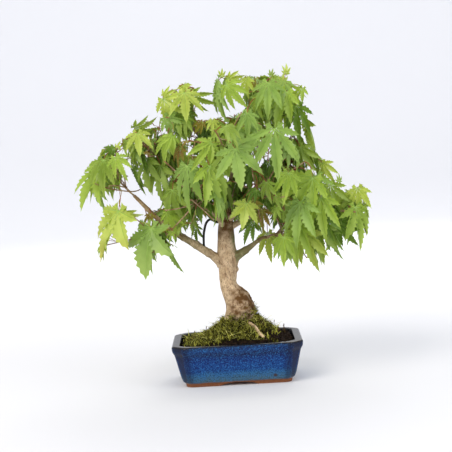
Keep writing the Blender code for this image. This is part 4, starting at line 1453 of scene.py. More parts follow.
    def hang_leaf(self, rng: random.Random, foot: Array, stalk: Array, jitter: Array, length: float,
                  centre: Array, lean: float, pull: float, hangs: tuple[float, float]) -> Leaf:
        """A leaf on a stalk, whose blade hangs down and out from the crown.

        Args:
            rng: draws how long its stalk is and how steeply it hangs.
            foot: where the stalk starts.
            stalk: the stalk's direction.
            jitter: a random turn of its upper side.
            length: of its blade.
            centre: the middle of its mass.
            lean: how far its axis follows the stalk.
            pull: how far its axis turns outwards.
            hangs: the least and most that its axis turns down.

        Returns:
            The leaf.
        """
        hub = foot + stalk * length * rng.uniform(*self.petiole_share)
        outward = unit((hub - centre) * (1, 1, 0.3) + centre * (0.35, 0.35, 0.0))
        down = np.array((0, 0, rng.uniform(*hangs)))
        axis = unit(stalk * (lean, lean, 0.1) + outward * pull - down)
        up = outward * 0.8 + np.array((0, 0, 0.8)) + jitter * 0.5
        return Leaf(foot, hub, axis, unit(up - axis * (up @ axis)), length)

    def place_leaf(self, rng: random.Random, foot: Array, along: Array, side: Array, index: int,
                   own: BVHTree, taken: BVHTree) -> Leaf | None:
        """Tries a leaf at a foot on a twig, smaller each time, until it has room.

        Args:
            rng: draws how it lies.
            foot: where its stalk starts.
            along: the twig's direction.
            side: the direction away from the twig.
            index: the mass's number.
            own: the search tree of the mass's twigs.
            taken: the search tree of its leaves so far.

        Returns:
            The leaf, or None where it has no room.
        """
        shortest, longest = self.lengths[0], rng.uniform(0.75, 1.0) * self.lengths[1]
        for attempt in range(self.leaf_tries):
            late = attempt / self.leaf_tries
            jitter = scattered(rng, 0.3 + 0.9 * late)
            stalk = unit(along * 0.5 * (1 - late) + side * (0.9 - 0.5 * late)
                         + np.array((0, 0, 0.35)) + jitter)
            leaf = self.hang_leaf(rng, foot, stalk, jitter, longest + (shortest - longest) * late,
                                  self.centres[index], 0.6, 0.4 * (1 - 1.5 * late), (0.35, 1.5))
            if stalk @ leaf.axis < self.least_backing:
                continue
            leaf.droop = rng.uniform(0.06, 0.3)
            points = self.leaf_points(leaf)
            if not self.in_space(points[:-3], index):
                continue
            places = [tuple(point) for point in points]
            if BVHTree.FromPolygons(places, self.blade_faces).overlap(own):
                continue
            whole = BVHTree.FromPolygons(places, self.leaf_faces)
            if not whole.overlap(self.walls) and not whole.overlap(taken):
                return leaf
        return None

    def grow(self, index: int) -> Spray:
        """The twigs and leaves of one mass, by its seed: leaves in pairs along its shoots, from the
        tips back to the stem.

        Args:
            index: the mass's number.

        Returns:
            Its twigs and leaves.
        """
        mass = MASSES[index]
        rng = random.Random(mass.seed)
        spray = Spray(self.twigs(index, rng), [])
        own, taken = self.tube_tree(spray.twigs, self.twig_sides), Soup()
        for share in self.pair_shares:
            for path, _ in spray.twigs[1:] + spray.twigs[:1]:
                along = unit(path[-1] - path[-2])
                at = share * (len(path) - 1)
                low = min(int(at), len(path) - 2)
                foot = path[low] + (path[low + 1] - path[low]) * (at - low) * 0.97
                side = unit(np.cross(along, (rng.gauss(0, 0.3), rng.gauss(0, 0.3), 1.0)))
                for hand in (-1, 1):
                    if len(spray.leaves) >= mass.leaves:
                        return spray
                    leaf = self.place_leaf(rng, foot, along, side * hand, index, own, taken.tree())
                    if leaf:
                        taken.add(self.leaf_points(leaf), self.leaf_faces)
                        spray.leaves.append(leaf)
        return spray

    def grow_finer(self, index: int, spray: Spray, count: int, outlook: Outlook) -> None:
        """Adds thin side twigs between the leaf pairs, each with a pair of smaller leaves, within
        the same space, clear of the limbs and of what the outlook leaves open, and young leaves at
        the tips.

        Args:
            index: the mass's number.
            spray: what has grown there, which is added to.
            count: how many leaves to add at most, apart from the young ones.
            outlook: what must stay open from the front.
        """
        rng = random.Random(FINE_SEED + MASSES[index].seed)
        centre = self.centres[index]
        most, tries = len(spray.leaves) + count, count * self.fine_tries
        for tried in range(tries):
            if len(spray.leaves) >= most:
                break
            path, _ = rng.choice(spray.twigs)
            low = rng.randrange(len(path) - 1)
            foot = path[low] + (path[low + 1] - path[low]) * rng.uniform(0.15, 1.0)
            out = unit(foot - centre + scattered(rng, 14.0))
            tip = foot + out * rng.uniform(*self.fine_reach)
            if not self.in_space(tip[None], index):
                continue
            pair = []
            for hand in (-1, 1):
                jitter = scattered(rng, 0.4)
                side = unit(np.cross(out, (0.1, 0.2, 1.0))) * hand
                stalk = unit(out * 0.5 + side * 0.8 + np.array((0, 0, 0.25)) + jitter)
                length = rng.uniform(*self.fine_lengths) * (1 - self.late_loss * tried / tries)
                leaf = self.hang_leaf(rng, tip, stalk, jitter, length, centre, 0.5, 0.3, (0.5, 1.6))
                leaf.droop = rng.uniform(0.05, 0.3)
                points = self.leaf_points(leaf)
                if self.in_space(points[:-3], index) and outlook.leaves_open(points[:-4]):
                    whole = Soup()
                    whole.add(points, self.leaf_faces)
                    if not whole.tree().overlap(self.walls):
                        pair.append(leaf)
            if pair:
                spray.fine_twigs.append((np.array([foot, tip]), np.array(self.fine_radii)))
                spray.leaves += pair
        for path, _ in spray.twigs[1:]:
            heading = unit(path[-1] - path[0])
            side = unit(np.cross(heading, (rng.gauss(0, 1), rng.gauss(0, 1), 0.3)))
            for hand in (-1, 1):
                axis = unit(heading + side * hand * 0.8 + np.array((0, 0, 0.15)))
                normal = unit(np.cross(axis, np.cross((0.1, -0.3, 1.0), axis)))
                length = rng.uniform(*self.tip_lengths)
                tip = Leaf(path[-1], path[-1] + axis * 2.5, axis, normal, length)
                if outlook.leaves_open(self.leaf_points(tip)[:-4]):
                    spray.tips.append(tip)


def scattered(rng: random.Random, spread: float) -> Array:
    """A random vector, each of its parts spread as a normal distribution."""
    return np.array([rng.gauss(0, spread) for _ in range(3)])


def ring_skin(path: Array, radii: Array, sides: int) -> tuple[list[Array], list[tuple[int, ...]]]:
    """Rings of points round a path whose frame turns with it, and the closed skin's faces, as the
    solids have them.

    Args:
        path: the rings' middles.
        radii: one for each ring.
        sides: points in a ring.

    Returns:
        Points and faces.
    """
    tangents = np.gradient(path, axis=0)
    tangents /= np.linalg.norm(tangents, axis=1)[:, None]
    side = np.cross(tangents[0], (0.0, 1.0, 0.0))
    if np.linalg.norm(side) < 0.2:
        side = np.cross(tangents[0], (1.0, 0.0, 0.0))
    angle = 2 * np.pi * np.arange(sides) / sides
    points: list[Array] = []
    for centre, tangent, radius in zip(path, tangents, radii):
        side = side - tangent * (side @ tangent)
        side /= np.linalg.norm(side)
        other = np.cross(tangent, side)
        spokes = np.outer(np.cos(angle), side) + np.outer(np.sin(angle), other)
        points += list(centre + spokes * radius)
    ends = [range(sides)[::-1], range((len(path) - 1) * sides, len(path) * sides)]
    return points, grid_faces(len(path), sides).tolist() + ends


@dataclass
class Blade:
    """The maple blade in its own plane, worked out once for all leaves.

    A lobe is two strips from its midrib to its margin. The margin first follows the line to the
    notch and then swells and narrows to a long tip, with a tooth every few stations. Angles are in
    degrees from the blade's axis to either side, and reaches are shares of its length.
    """

    angles: tuple[float, ...] = (0.0, 40.0, 82.0, 125.0)
    reaches: tuple[float, ...] = (1.04, 0.84, 0.52, 0.22)
    teeth: tuple[int, ...] = (7, 6, 4, 1)
    rib_shares: tuple[float, ...] = (0.0, 0.3, 0.6, 0.9)
    notch: float = 0.19
    belly: float = 9.0
    narrowing: float = 1.2
    tooth: float = 0.034
    outer_gap: float = 40.0
    outer_notch: float = 0.09
    rib_width: float = 0.007
    rib_lift: float = 0.008

    def __post_init__(self) -> None:
        """Builds the template: each point's lobe angle, and how far it lies out along the lobe, to
        its side, and from its midrib."""
        half = list(zip(self.angles, self.reaches, self.teeth))
        lobes = [(-angle, reach, teeth) for angle, reach, teeth in half[:0:-1]] + half
        points: list[tuple[float, ...]] = []
        faces: list[tuple[int, ...]] = []
        ribs: list[tuple[float, ...]] = []
        for index, (angle, reach, teeth) in enumerate(lobes):
            turn = math.radians(angle)
            for hand in (-1, 1):
                other = index + hand
                apart, notch = self.outer_gap, self.outer_notch
                if 0 <= other < len(lobes):
                    apart = abs(lobes[other][0] - angle)
                    notch = self.notch * (min(reach, lobes[other][1]) + 0.25) / 1.13
                wedge = math.radians(apart / 2)
                self.half_lobe(reach, teeth, turn, hand, wedge, notch, points, faces)
            for share in self.rib_shares:
                side = self.rib_width * (1.05 - share)
                ribs += [(turn, reach * share, way * side, self.rib_lift) for way in (-1, 1)]
        self.points, self.ribs = np.array(points), np.array(ribs)
        self.quads, self.triangles = (np.array([face for face in faces if len(face) == corners])
                                      for corners in (4, 3))
        rows = np.arange(len(ribs)).reshape(len(lobes), -1, 2)
        around = (rows[:, :-1, 0], rows[:, 1:, 0], rows[:, 1:, 1], rows[:, :-1, 1])
        self.rib_quads = np.stack(around, axis=-1).reshape(-1, 4)

    def half_lobe(self, reach: float, teeth: int, turn: float, hand: int, wedge: float,
                  notch: float, points: list, faces: list) -> None:
        """Adds one half of a lobe as a strip of quads with a triangle at each end.

        Args:
            reach: of the lobe.
            teeth: on its margin.
            turn: of its midrib.
            hand: which half, -1 or 1.
            wedge: half the angle to the next lobe.
            notch: how far out the notch lies.
            points: the template's, which are added to.
            faces: the template's, which are added to.
        """
        start, width = notch * math.cos(wedge), notch * math.sin(wedge)
        stations = [(start, width, 0.0)]
        for tooth in range(teeth):
            for place, out, ahead in ((0.72, 1.0, 0.4), (1.0, -0.7, 0.0)):
                s = (tooth + place) / (teeth + 0.7)
                narrow = width * (1 - s) ** self.narrowing * (1 + self.belly * s)
                bump = self.tooth * (1.25 - s) * out
                out_at = start + (reach - start) * s
                stations.append((out_at, max(narrow + bump, 0.004), ahead * bump))
        base, end = len(points), len(points) + 2 * len(stations) - 1
        points.append((turn, 0.0, 0.0, 0.0))
        for out, wide, ahead in stations:
            points += [(turn, out, 0.0, 0.0), (turn, out + ahead, wide * hand, wide)]
        points.append((turn, reach, 0.0, 0.0))
        strip = [(base, base + 1, base + 2), (end, end + 2, end + 1)]
        strip[1:1] = [(a, a + 2, a + 3, a + 1) for a in range(base + 1, end, 2)]
        faces += [face[::hand] for face in strip]

    @staticmethod
    def lay(leaves: Sequence[Leaf], flat: Array, folded: bool = True) -> Array:
        """Puts template points on all leaves at once.

        A point's way to the side of its lobe is multiplied by slim. It then turns towards the axis
        by close times its reach, as the lobes of a hanging leaf do. It is hub + length (along axis
        + across across), moved along the normal by fold times its distance from the midrib, less
        droop times its reach to the power 1.8, and by a wave of three crests round the hub times
        its reach squared, and down by sag times its reach squared.

        Args:
            leaves: the leaves.
            flat: rows of lobe angle, out, side and lift.
            folded: whether lift is multiplied by the leaf's fold.

        Returns:
            Points of shape (leaves, rows, 3).
        """
        hub, axis, across, normal, length, droop, fold, sag, slim, close, wave = (
            np.array([getattr(leaf, key) for leaf in leaves])[:, None] for key in (
                "hub", "axis", "across", "normal", "length",
                "droop", "fold", "sag", "slim", "close", "wave"))
        angle, out, side, lift = flat.T
        reach = np.hypot(out, side * slim)
        turn = (angle + np.arctan2(side * slim, out)) * (1 - close * reach)
        lift = (fold if folded else 1.0) * lift - droop * reach ** 1.8
        lift = lift + 0.16 * reach ** 2 * np.cos(3 * turn + wave)
        points = hub + length[..., None] * (
            axis * (reach * np.cos(turn))[..., None] + across * (reach * np.sin(turn))[..., None]
            + normal * lift[..., None])
        points[..., 2] -= sag * length * reach ** 2
        return points


@dataclass
class Crown:
    """All foliage: main twigs, finer twigs, stalks, blades and their veins."""

    skeleton: Skeleton
    view: FrontView
    leaves_per_main: float = 3.6
    leaf_scale: float = 1.05
    twig_rings: int = 9
    twig_share: float = 0.62
    twig_bow: float = 0.06
    longest_bow: float = 60.0
    bow_seed: int = 5
    stalk_rings: int = 6
    stalk_radius: float = 0.4
    longest_stalk: float = 20.0
    joint_radii: tuple[float, float] = (0.75, 0.45)

    def grow(self) -> None:
        """Grows every mass round the leaves that show plainly, and deals out tints by spray."""
        rule = GrowthRule(self.skeleton)
        self.known = [row.leaf(self.view) for row in KNOWN_LEAVES]
        outlook = Outlook(self.view, self.known)
        self.sprays = []
        for index, mass in enumerate(MASSES):
            spray = rule.grow(index)
            spray.leaves = [leaf for leaf in spray.leaves
                            if outlook.leaves_open(rule.leaf_points(leaf)[:-4])]
            spray.prune(outlook)
            kept = len(spray.leaves)
            rule.grow_finer(index, spray, round(self.leaves_per_main * mass.leaves) - kept, outlook)
            self.deal_tints(mass, spray)
            self.sprays.append(spray)
            log.info("%s: %d twigs, %d main and %d finer leaves", mass.name, len(spray.twigs), kept,
                     len(spray.leaves) - kept)
        self.join_known()

    def join_known(self) -> None:
        """Leads a stalk to each known leaf from the nearest twig, on a thin twig where that is
        far."""
        twigs = [path for spray in self.sprays for path, _ in spray.twigs]
        twigs += [path[len(path) // 2:] for name, (path, _) in self.skeleton.paths.items()
                  if name != "trunk"]
        share = np.linspace(0, 1, 9)[:, None]
        feet = np.concatenate([start + (end - start) * share for path in twigs
                               for start, end in zip(path, path[1:])])
        spray = Spray([], self.known)
        for number, leaf in enumerate(self.known):
            leaf.wave = 2.4 * number + 1.0
            behind = leaf.hub - leaf.axis * leaf.length * 0.3 + (0.0, 4.0, 3.0)
            leaf.foot = foot = feet[np.argmin(np.linalg.norm(feet - behind, axis=1))]
            apart = np.linalg.norm(leaf.hub - foot)
            if apart > self.longest_stalk:
                way = unit(leaf.hub - leaf.axis * 6.0 - foot)
                leaf.foot = foot + way * (apart - 0.7 * self.longest_stalk)
                spray.fine_twigs.append((np.array([foot, leaf.foot]), np.array(self.joint_radii)))
        self.sprays.append(spray)

    @staticmethod
    def deal_tints(mass: Mass, spray: Spray) -> None:
        """Gives each leaf a tint: its twig's main tint, with painted light on the outside and top
        of the crown and painted shade inside it, with some leaves of a neighbouring tint.

        Args:
            mass: the mass of foliage.
            spray: what has grown there.
        """
        rng = random.Random(TINT_SEED + mass.seed)
        # Tints in order from painted shade to painted sunlight.
        order = [PAINTED_SHADE, PAINTED_SHADE, MID, BLUISH, FRESH, SUNLIT]
        twig_tint: dict[tuple, float] = {}
        for leaf in spray.leaves:
            key = tuple(np.round(leaf.foot / 12.0))
            base = twig_tint.setdefault(key, rng.gauss(0, 0.6))
            x, y, z = leaf.hub
            outer = math.hypot(x / 140.0, y / 95.0, (z - 195.0) / 110.0)
            light = -0.4 + 4.0 * outer ** 1.4 + base + rng.gauss(0, 0.55)
            leaf.tint = order[int(np.clip(round(light), 0, 5))]
            leaf.fold = rng.uniform(0.3, 0.8)
            leaf.slim = rng.uniform(0.75, 1.1)
            leaf.close = rng.uniform(0.15, 0.5)
            leaf.dry = max(0.0, rng.gauss(-0.35, 0.4))
            leaf.wave = rng.uniform(0, 2 * math.pi)
        for tip in spray.tips:
            tip.tint = rng.choice((YOUNG, SUNLIT, FRESH, FRESH))

    def leaf_skins(self) -> tuple[dict[Tint, Skin], Skin]:
        """The blades, one skin for each tint, and the pale veins of all. The leaves that show
        plainly have every tooth, and the others, which are hundreds, are plainer.

        Returns:
            The blades' skins by their tints, and the veins' skin.
        """
        skins, veins = {tint: Skin() for tint in Tint}, Skin()
        plain = Blade(teeth=(3, 2, 1, 0), rib_shares=(0.0, 0.45, 0.9), tooth=0.04)
        others = [leaf for spray in self.sprays[:-1] for leaf in spray.leaves + spray.tips]
        for blade, leaves in ((Blade(), self.known), (plain, others)):
            flat = blade.points * (1, self.leaf_scale, self.leaf_scale, self.leaf_scale)
            reach = np.hypot(flat[:, 1], flat[:, 2])
            margin = np.clip(reach * 0.75 + flat[:, 3] * 1.2, 0, 1)
            for tint, skin in skins.items():
                chosen = [leaf for leaf in leaves if leaf.tint is tint]
                if chosen:
                    dry = np.outer([leaf.dry for leaf in chosen], fade(reach, 0.45, 1.05))
                    faces = (repeated(block, len(chosen), len(flat))
                             for block in (blade.quads, blade.triangles))
                    skin.add(blade.lay(chosen, flat), *faces, reach=margin, dry=dry)
            ribs = blade.ribs * (1, self.leaf_scale, self.leaf_scale, 1)
            veins.add(blade.lay(leaves, ribs, folded=False),
                      repeated(blade.rib_quads, len(leaves), len(ribs)))
        return skins, veins

    def twig_skin(self) -> Skin:
        """Stems, shoots and finer twigs. Each line bows aside by a sine of its length times
        twig_bow, and swells a little at its leaf pairs.

        Returns:
            The skin with the values that the bark finish reads.
        """
        twigs = [twig for spray in self.sprays for twig in spray.twigs + spray.fine_twigs]
        share = np.linspace(0, 1, self.twig_rings)
        rows = np.array([
            [np.interp(share * (len(path) - 1), range(len(path)), column)
             for column in (*path.T, widths)] for path, widths in twigs])
        lines, widths = rows[:, :3].swapaxes(1, 2), rows[:, 3]
        youth = [0.2 + 0.2 * share if len(path) > 2 else 0.3 + 0.3 * share for path, _ in twigs]
        length = np.linalg.norm(lines[:, -1] - lines[:, 0], axis=1)[:, None, None]
        bow = unit(np.random.default_rng(self.bow_seed).normal(size=(len(lines), 1, 3)))
        bow = bow * length * self.twig_bow * (length < self.longest_bow)
        lines = lines + bow * np.sin(np.pi * share)[None, :, None]
        widths = widths * self.twig_share * (1 + 0.18 * np.cos(share * 5 * 2 * np.pi)[None])
        skin = Skin()
        skin.tubes(lines, widths, 6, crack=0.0, algae=0.3, scar=0.1, shoot=np.array(youth))
        return skin

    def stalk_skins(self) -> tuple[Skin, Skin]:
        """The leaf stalks, red on most twigs and green on the rest. Each is a bent line that leaves
        the twig sideways and comes into the hub from behind the blade.

        Returns:
            The red skin and the green one.
        """
        leaves = [leaf for spray in self.sprays for leaf in spray.leaves + spray.tips]
        t = np.linspace(0, 1, self.stalk_rings)[None, :, None]
        foot, hub, axis = (np.array([getattr(leaf, key) for leaf in leaves])[:, None]
                           for key in ("foot", "hub", "axis"))
        apart = np.linalg.norm(hub - foot, axis=-1, keepdims=True)
        knee = 0.5 * (foot + hub) - axis * apart * 0.25 + np.array((0, 0, 0.12)) * apart
        lines = bent(foot, knee, hub, t)
        radii = np.broadcast_to(self.stalk_radius * (1.25 - 0.45 * t[..., 0]), lines.shape[:2])
        red = np.array([leaf.tint in (PAINTED_SHADE, MID, YOUNG) or number % 2 == 0
                        for number, leaf in enumerate(leaves)])
        skins = (Skin(), Skin())
        for skin, chosen in zip(skins, (red, ~red)):
            skin.tubes(lines[chosen], radii[chosen], 5)
        return skins


# The wire, the pot and its filling


@dataclass
class TrainingWire:
    """The short black wire between the trunk and the left bough."""

    route = ((-6.0, -2.0, 158.0), (-13.5, -2.6, 159.0), (-19.5, -3.2, 162.0), (-23.8, -3.4, 159.0),
             (-26.2, -3.0, 152.0), (-27.4, -2.6, 145.0), (-27.8, -2.4, 130.0))
    solid_rings = 14
    radius: float = 1.2

    def skin(self) -> Skin:
        """A round tube along the route.

        Returns:
            The skin.
        """
        path = curve_through(self.route, 70)
        skin = Skin()
        skin.tube(path, np.full((len(path), 1), self.radius), 14)
        return skin


@dataclass
class Pot:
    """The glazed pot: a profile carried round a rectangle with cut, eased corners."""

    length: float = 129.5
    width: float = 96.0
    height: float = 41.5
    corner_cut: float = 12.0
    least_cut: float = 4.0
    corner_round: float = 2.4
    foot: float = 3.4
    front_arch: float = 17.0
    side_arch: float = 12.0
    arch_rise: float = 3.0
    side_steps: int = 44
    cut_steps: int = 8
    corner_steps: int = 6
    drain_radius: float = 4.5
    drain_spacing: float = 54.0
    drain_sides: int = 24
    drain_reach: tuple[float, float] = (-2.0, 14.0)
    longest_run: float = 2.5
    ease_steps: int = 5
    wall_from: float = 4.2
    foot_inset: float = 30.0
    rim_drop: float = 0.3
    clay_edge: tuple[float, float] = (3.6, 4.6)
    # (height, inset, rounding) from the middle of the underside, round the outside, to the floor
    profile: tuple[tuple[float, float, float], ...] = (
        (3.4, 44.0, 0.0), (3.4, 20.5, 0.4), (0.0, 19.8, 0.4), (0.0, 12.8, 0.5), (3.4, 12.0, 0.3),
        (5.0, 9.6, 1.0), (10.0, 7.7, 2.0), (32.0, 2.6, 1.5), (35.8, 0.5, 1.2), (40.2, 0.0, 1.1),
        (41.5, 1.4, 0.9), (41.5, 7.6, 0.8), (40.6, 8.1, 0.8), (9.0, 16.5, 0.6), (8.2, 19.0, 0.5),
        (8.2, 44.0, 0.0))

    def fine_profile(self) -> Array:
        """The profile with each corner eased into a quadratic curve, and its long runs divided.

        Returns:
            Rows of height and inset.
        """
        def divided(start: Array, end: Array) -> list[Array]:
            """Places along a straight run, without its ends."""
            steps = max(1, int(np.linalg.norm(end - start) / self.longest_run))
            return [start + (end - start) * k / steps for k in range(1, steps)]

        rows = np.array(self.profile)
        fine = [rows[0, :2]]
        for before, here, after in zip(rows, rows[1:], rows[2:]):
            back, ahead = before[:2] - here[:2], after[:2] - here[:2]
            ease = min(here[2], 0.45 * np.linalg.norm(back), 0.45 * np.linalg.norm(ahead))
            start, end = here[:2] + unit(back) * ease, here[:2] + unit(ahead) * ease
            fine += divided(fine[-1], start)
            fine += list(bent(start, here[:2], end, np.linspace(0, 1, self.ease_steps)[:, None]))
        return np.array([*fine, *divided(fine[-1], rows[-1, :2]), rows[-1, :2]])

    def outline(self, inset: Array) -> tuple[Array, Array]:
        """The plan at each inset: four long sides and four cut corners, eased where they meet.

        Args:
            inset: how far in from the rim's outer edge, one for each row.

        Returns:
            Points of shape (rows, steps, 2), and how near each step is to the middle of a cut
            corner,
            from 0 to 1.
        """
        a, b = self.length / 2 - inset, self.width / 2 - inset
        cut = np.maximum(self.least_cut, self.corner_cut - inset * (2 - math.sqrt(2)))
        corners = np.stack([np.stack(pair, axis=-1) for pair in (
            (a, -b + cut), (a, b - cut), (a - cut, b), (-a + cut, b),
            (-a, b - cut), (-a, -b + cut), (-a + cut, -b), (a - cut, -b))])
        ease = np.minimum(self.corner_round, cut * 0.4)[:, None]
        bend = np.linspace(0, 1, self.corner_steps)[:, None]
        pieces, nearness = [], []
        for k, here in enumerate(corners):
            before, after = corners[k - 1], corners[(k + 1) % 8]
            back, ahead = unit(before - here) * ease, unit(after - here) * ease
            long = k % 2 == 0
            steps = self.side_steps if long else self.cut_steps
            s = np.arange(1, steps) / steps
            pieces.append(bent(*((here + way)[:, None] for way in (back, 0, ahead)), bend))
            pieces.append((here + ahead)[:, None] * (1 - s)[:, None]
                          + (after - ahead)[:, None] * s[:, None])
            nearness.append(np.full(self.corner_steps, 0.7))
            nearness.append(0.45 * bell(np.minimum(s, 1 - s) * 80.0, 3.0) if long
                            else np.ones(steps - 1))
        return np.concatenate(pieces, axis=1), np.concatenate(nearness)

    def skin(self) -> Skin:
        """The pot's skin. Between the feet the foot's points rise to the arch, the height of an
        ellipse over the distance from the side's middle.

        Returns:
            The skin with the values that the glaze reads.
        """
        profile = self.fine_profile()
        plan, corner = self.outline(profile[:, 1])
        height = np.broadcast_to(profile[:, :1], plan.shape[:2])
        x, y = plan[..., 0], plan[..., 1]
        row = np.arange(len(profile))[:, None]
        outer, lip = np.argmax(profile[:, 0] >= self.wall_from), np.argmax(profile[:, 0])
        foot = (row < outer) & (profile[:, 1:] < self.foot_inset)
        for along, half in ((x, self.front_arch), (y, self.side_arch)):
            arch = self.arch_rise * np.sqrt(np.clip(1 - (along / half) ** 2, 0, 1))
            height = np.where(foot, np.maximum(height, np.minimum(arch, self.foot)), height)
        first, last = np.flatnonzero(profile[:, 0] >= self.height - self.rim_drop)[[0, -1]]
        # inside marks the inner wall, which gets painted shade of nearly black.
        inside = np.where(row > last + 1, 1.0, 0.0)
        wobble = wrapped_noise(np.arctan2(y, x), height, 60, 3.0, 9)
        low, high = self.clay_edge
        clay = fade(-(height + 0.8 * wobble), -high, -low) * (row < lip)
        clay = np.where(row < outer - 2, 1.0, clay)
        thin = 0.9 * (bell(row - first, 4.5) + bell(row - last, 3.0))
        thin = thin + 0.35 * corner * fade(height, 30.0, 41.0)
        rim = np.where((row >= first) & (row <= last), 0.75, 0.0)
        skin = Skin()
        # corner paints shade on the cut corners, and inside paints shade on the inner wall.
        skin.add(np.stack((x, y, height), axis=-1), grid_faces(*plan.shape[:2]), clay=clay,
                 inside=inside, thin=np.maximum(np.clip(thin, 0, 1) * (1 - inside), rim),
                 corner=0.85 * corner * (1 - clay))
        middle = np.arange(plan.shape[1])[None]
        skin.faces += [middle[:, ::-1], middle + (len(profile) - 1) * plan.shape[1]]
        return skin

    def cut_drains(self, pot: bpy.types.Object, frame: PotFrame) -> None:
        """Cuts the two drain holes through the floor.

        Args:
            pot: the pot's object.
            frame: puts the cutters in place.
        """
        for side in (-1, 1):
            hole = Skin()
            path = np.array([(side * self.drain_spacing / 2, 0.0, z) for z in self.drain_reach])
            hole.tubes(path[None], np.full((1, 2), self.drain_radius), self.drain_sides)
            cutter = frame.piece(f"drain_{side}", hole, pot.data.materials[0], "pot")
            modifier = pot.modifiers.new("Drain", "BOOLEAN")
            modifier.operation, modifier.solver, modifier.object = "DIFFERENCE", "EXACT", cutter
            graph = bpy.context.evaluated_depsgraph_get()
            made = bpy.data.meshes.new_from_object(pot.evaluated_get(graph))
            pot.modifiers.clear()
            pot.data = made
            bpy.data.objects.remove(cutter)


@dataclass
class Ground:
    """What fills the pot: dark soil with crumbs, a mound of moss strands, straw, stalks and
    roots."""

    moss_mesh: bpy.types.Object
    frame: PotFrame
    strands: int = 8000
    climbers: int = 1500
    crumbs: int = 3000
    straws: int = 420
    earth_drop: float = 0.25
    straw_lift: float = 1.2
    fibre_height: float = 38.2
    capsule_tries: int = 4000
    # Clumps of fruiting stalks: x, y, how wide, and how many stalks
    capsule_spots: tuple[tuple[float, float, float, int], ...] = (
        (42.0, 2.0, 9.0, 15), (24.0, -12.0, 7.0, 6), (-36.0, -4.0, 12.0, 6), (-20.0, 12.0, 9.0, 6))
    # Root ends in the soil: x, y, length, turn and radius
    fibre_ends: tuple[tuple[float, ...], ...] = (
        (4.0, -33.0, 8.0, 0.5, 0.9), (10.0, -33.5, 7.0, 2.4, 0.75), (14.0, -32.0, 6.0, 0.1, 0.8),
        (-1.0, -34.0, 6.0, 2.9, 0.6), (18.0, -30.0, 7.0, 1.2, 0.6))
    seed: int = 21
    root_ends: tuple[tuple[float, float], ...] = (
        (6.0, -5.0), (12.0, -16.0), (19.0, -22.5), (22.5, -29.0), (29.0, -35.0))
    root_radii: tuple[float, float] = (2.5, 1.3)
    root_rings: int = 40
    root_sides: int = 14
    root_length: float = 34.0

    def __post_init__(self) -> None:
        """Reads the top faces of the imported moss, in the pot's frame."""
        mesh = self.moss_mesh.data
        mesh.calc_loop_triangles()
        points = np.empty(len(mesh.vertices) * 3)
        mesh.vertices.foreach_get("co", points)
        self.points = (points.reshape(-1, 3) - self.frame.middle) / MM
        faces = np.empty(len(mesh.loop_triangles) * 3, int)
        mesh.loop_triangles.foreach_get("vertices", faces)
        self.triangles = faces.reshape(-1, 3)
        corners = self.points[self.triangles]
        normal = np.cross(corners[:, 1] - corners[:, 0], corners[:, 2] - corners[:, 0])
        self.area = np.where(normal[:, 2] > 0, np.linalg.norm(normal, axis=1), 0.0)
        self.normals = unit(normal)
        self.rng = np.random.default_rng(self.seed)
        tree = BVHTree.FromPolygons(self.points.tolist(), self.triangles.tolist())
        share = np.linspace(0, 1, self.root_rings)
        rows = curve_through(self.root_ends, self.root_rings)
        tops = [tree.ray_cast(Vector((x, y, 90.0)), Vector((0, 0, -1)))[0] for x, y in rows]
        heights = [top.z if top else GROUND + 3.0 for top in tops]
        heights = np.convolve(heights, np.ones(7) / 7, "same")
        heights[:3], heights[-3:] = heights[3], heights[-4]
        lift = 1.1 * fade(share, 0.1, 0.4) - 2.5 * fade(share, 0.85, 1.0)
        self.root_path = np.column_stack((rows, heights + lift))

    def scatter(self, count: int) -> tuple[Array, Array]:
        """Random places on the mound's top, evenly by area, and the normals there.

        Args:
            count: how many.

        Returns:
            Places and normals, of shape (count, 3).
        """
        chosen = self.rng.choice(len(self.area), count, p=self.area / self.area.sum())
        weights = self.rng.dirichlet((1, 1, 1), count)
        places = (self.points[self.triangles[chosen]] * weights[..., None]).sum(axis=1)
        return places, self.normals[chosen]

    def mossy_places(self, count: int, tries: int) -> tuple[Array, Array]:
        """Random places where moss grows.

        Args:
            count: how many at most.
            tries: how many times as many to try.

        Returns:
            Places and normals.
        """
        places, normals = self.scatter(count * tries)
        keep = self.rng.random(len(places)) < self.mossy(places)
        return places[keep][:count], normals[keep][:count]

    def mossy(self, places: Array) -> Array:
        """How thickly moss grows at a place, from 0 to 1: dense round the trunk's foot and to the
        left, in clumps further out, and none on the root, to the right of it and in the left
        corner.

        Args:
            places: of shape (places, 3).

        Returns:
            A value for each.
        """
        x, y = places[:, 0], places[:, 1]
        near = bell(np.hypot((x - 4.0) / 1.25, y), 30.0)
        clumps = 0.5 + 0.5 * np.sin(x * 0.31 + 1.3 * np.sin(y * 0.23)) * np.sin(y * 0.37 + 0.9)
        reach = fade(-x, -44.0, -30.0) * fade(x, -56.0, -46.0)
        bare = bell(np.hypot((x - 36.0) / 1.3, y + 26.0), 9.0)
        bare += bell(np.hypot(x + 50.0, y + 30.0), 8.0)
        root = np.linalg.norm(places[:, None, :2] - self.root_path[None, :, :2], axis=2).min(axis=1)
        cover = (0.35 + 0.75 * near) * (0.45 + 0.75 * clumps) * reach * (1 - bare)
        return np.clip(cover * fade(root, 1.5, 3.5), 0, 1)

    def root(self) -> Skin:
        """The surface root that lies over the moss: a tube that narrows towards its tip, with noise
        of 4 mm on its radius.

        Returns:
            The skin with the values that the bark finish reads.
        """
        share = np.linspace(0, 1, self.root_rings)[:, None]
        thick, thin = self.root_radii
        noise = wrapped_noise(
            ring_angles(self.root_sides)[None], share * self.root_length, 5, 4.0, 77)
        skin = Skin()
        skin.tube(self.root_path, (thick + (thin - thick) * share) * (1 + 0.26 * noise),
                  self.root_sides, crack=0.0, algae=0.2 * (1 - share), scar=0.0, shoot=0.0)
        return skin

    def mound(self) -> Skin:
        """The dark earth under the moss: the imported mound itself, sunk a little."""
        skin = Skin()
        skin.add(self.points - (0, 0, self.earth_drop), self.triangles)
        return skin

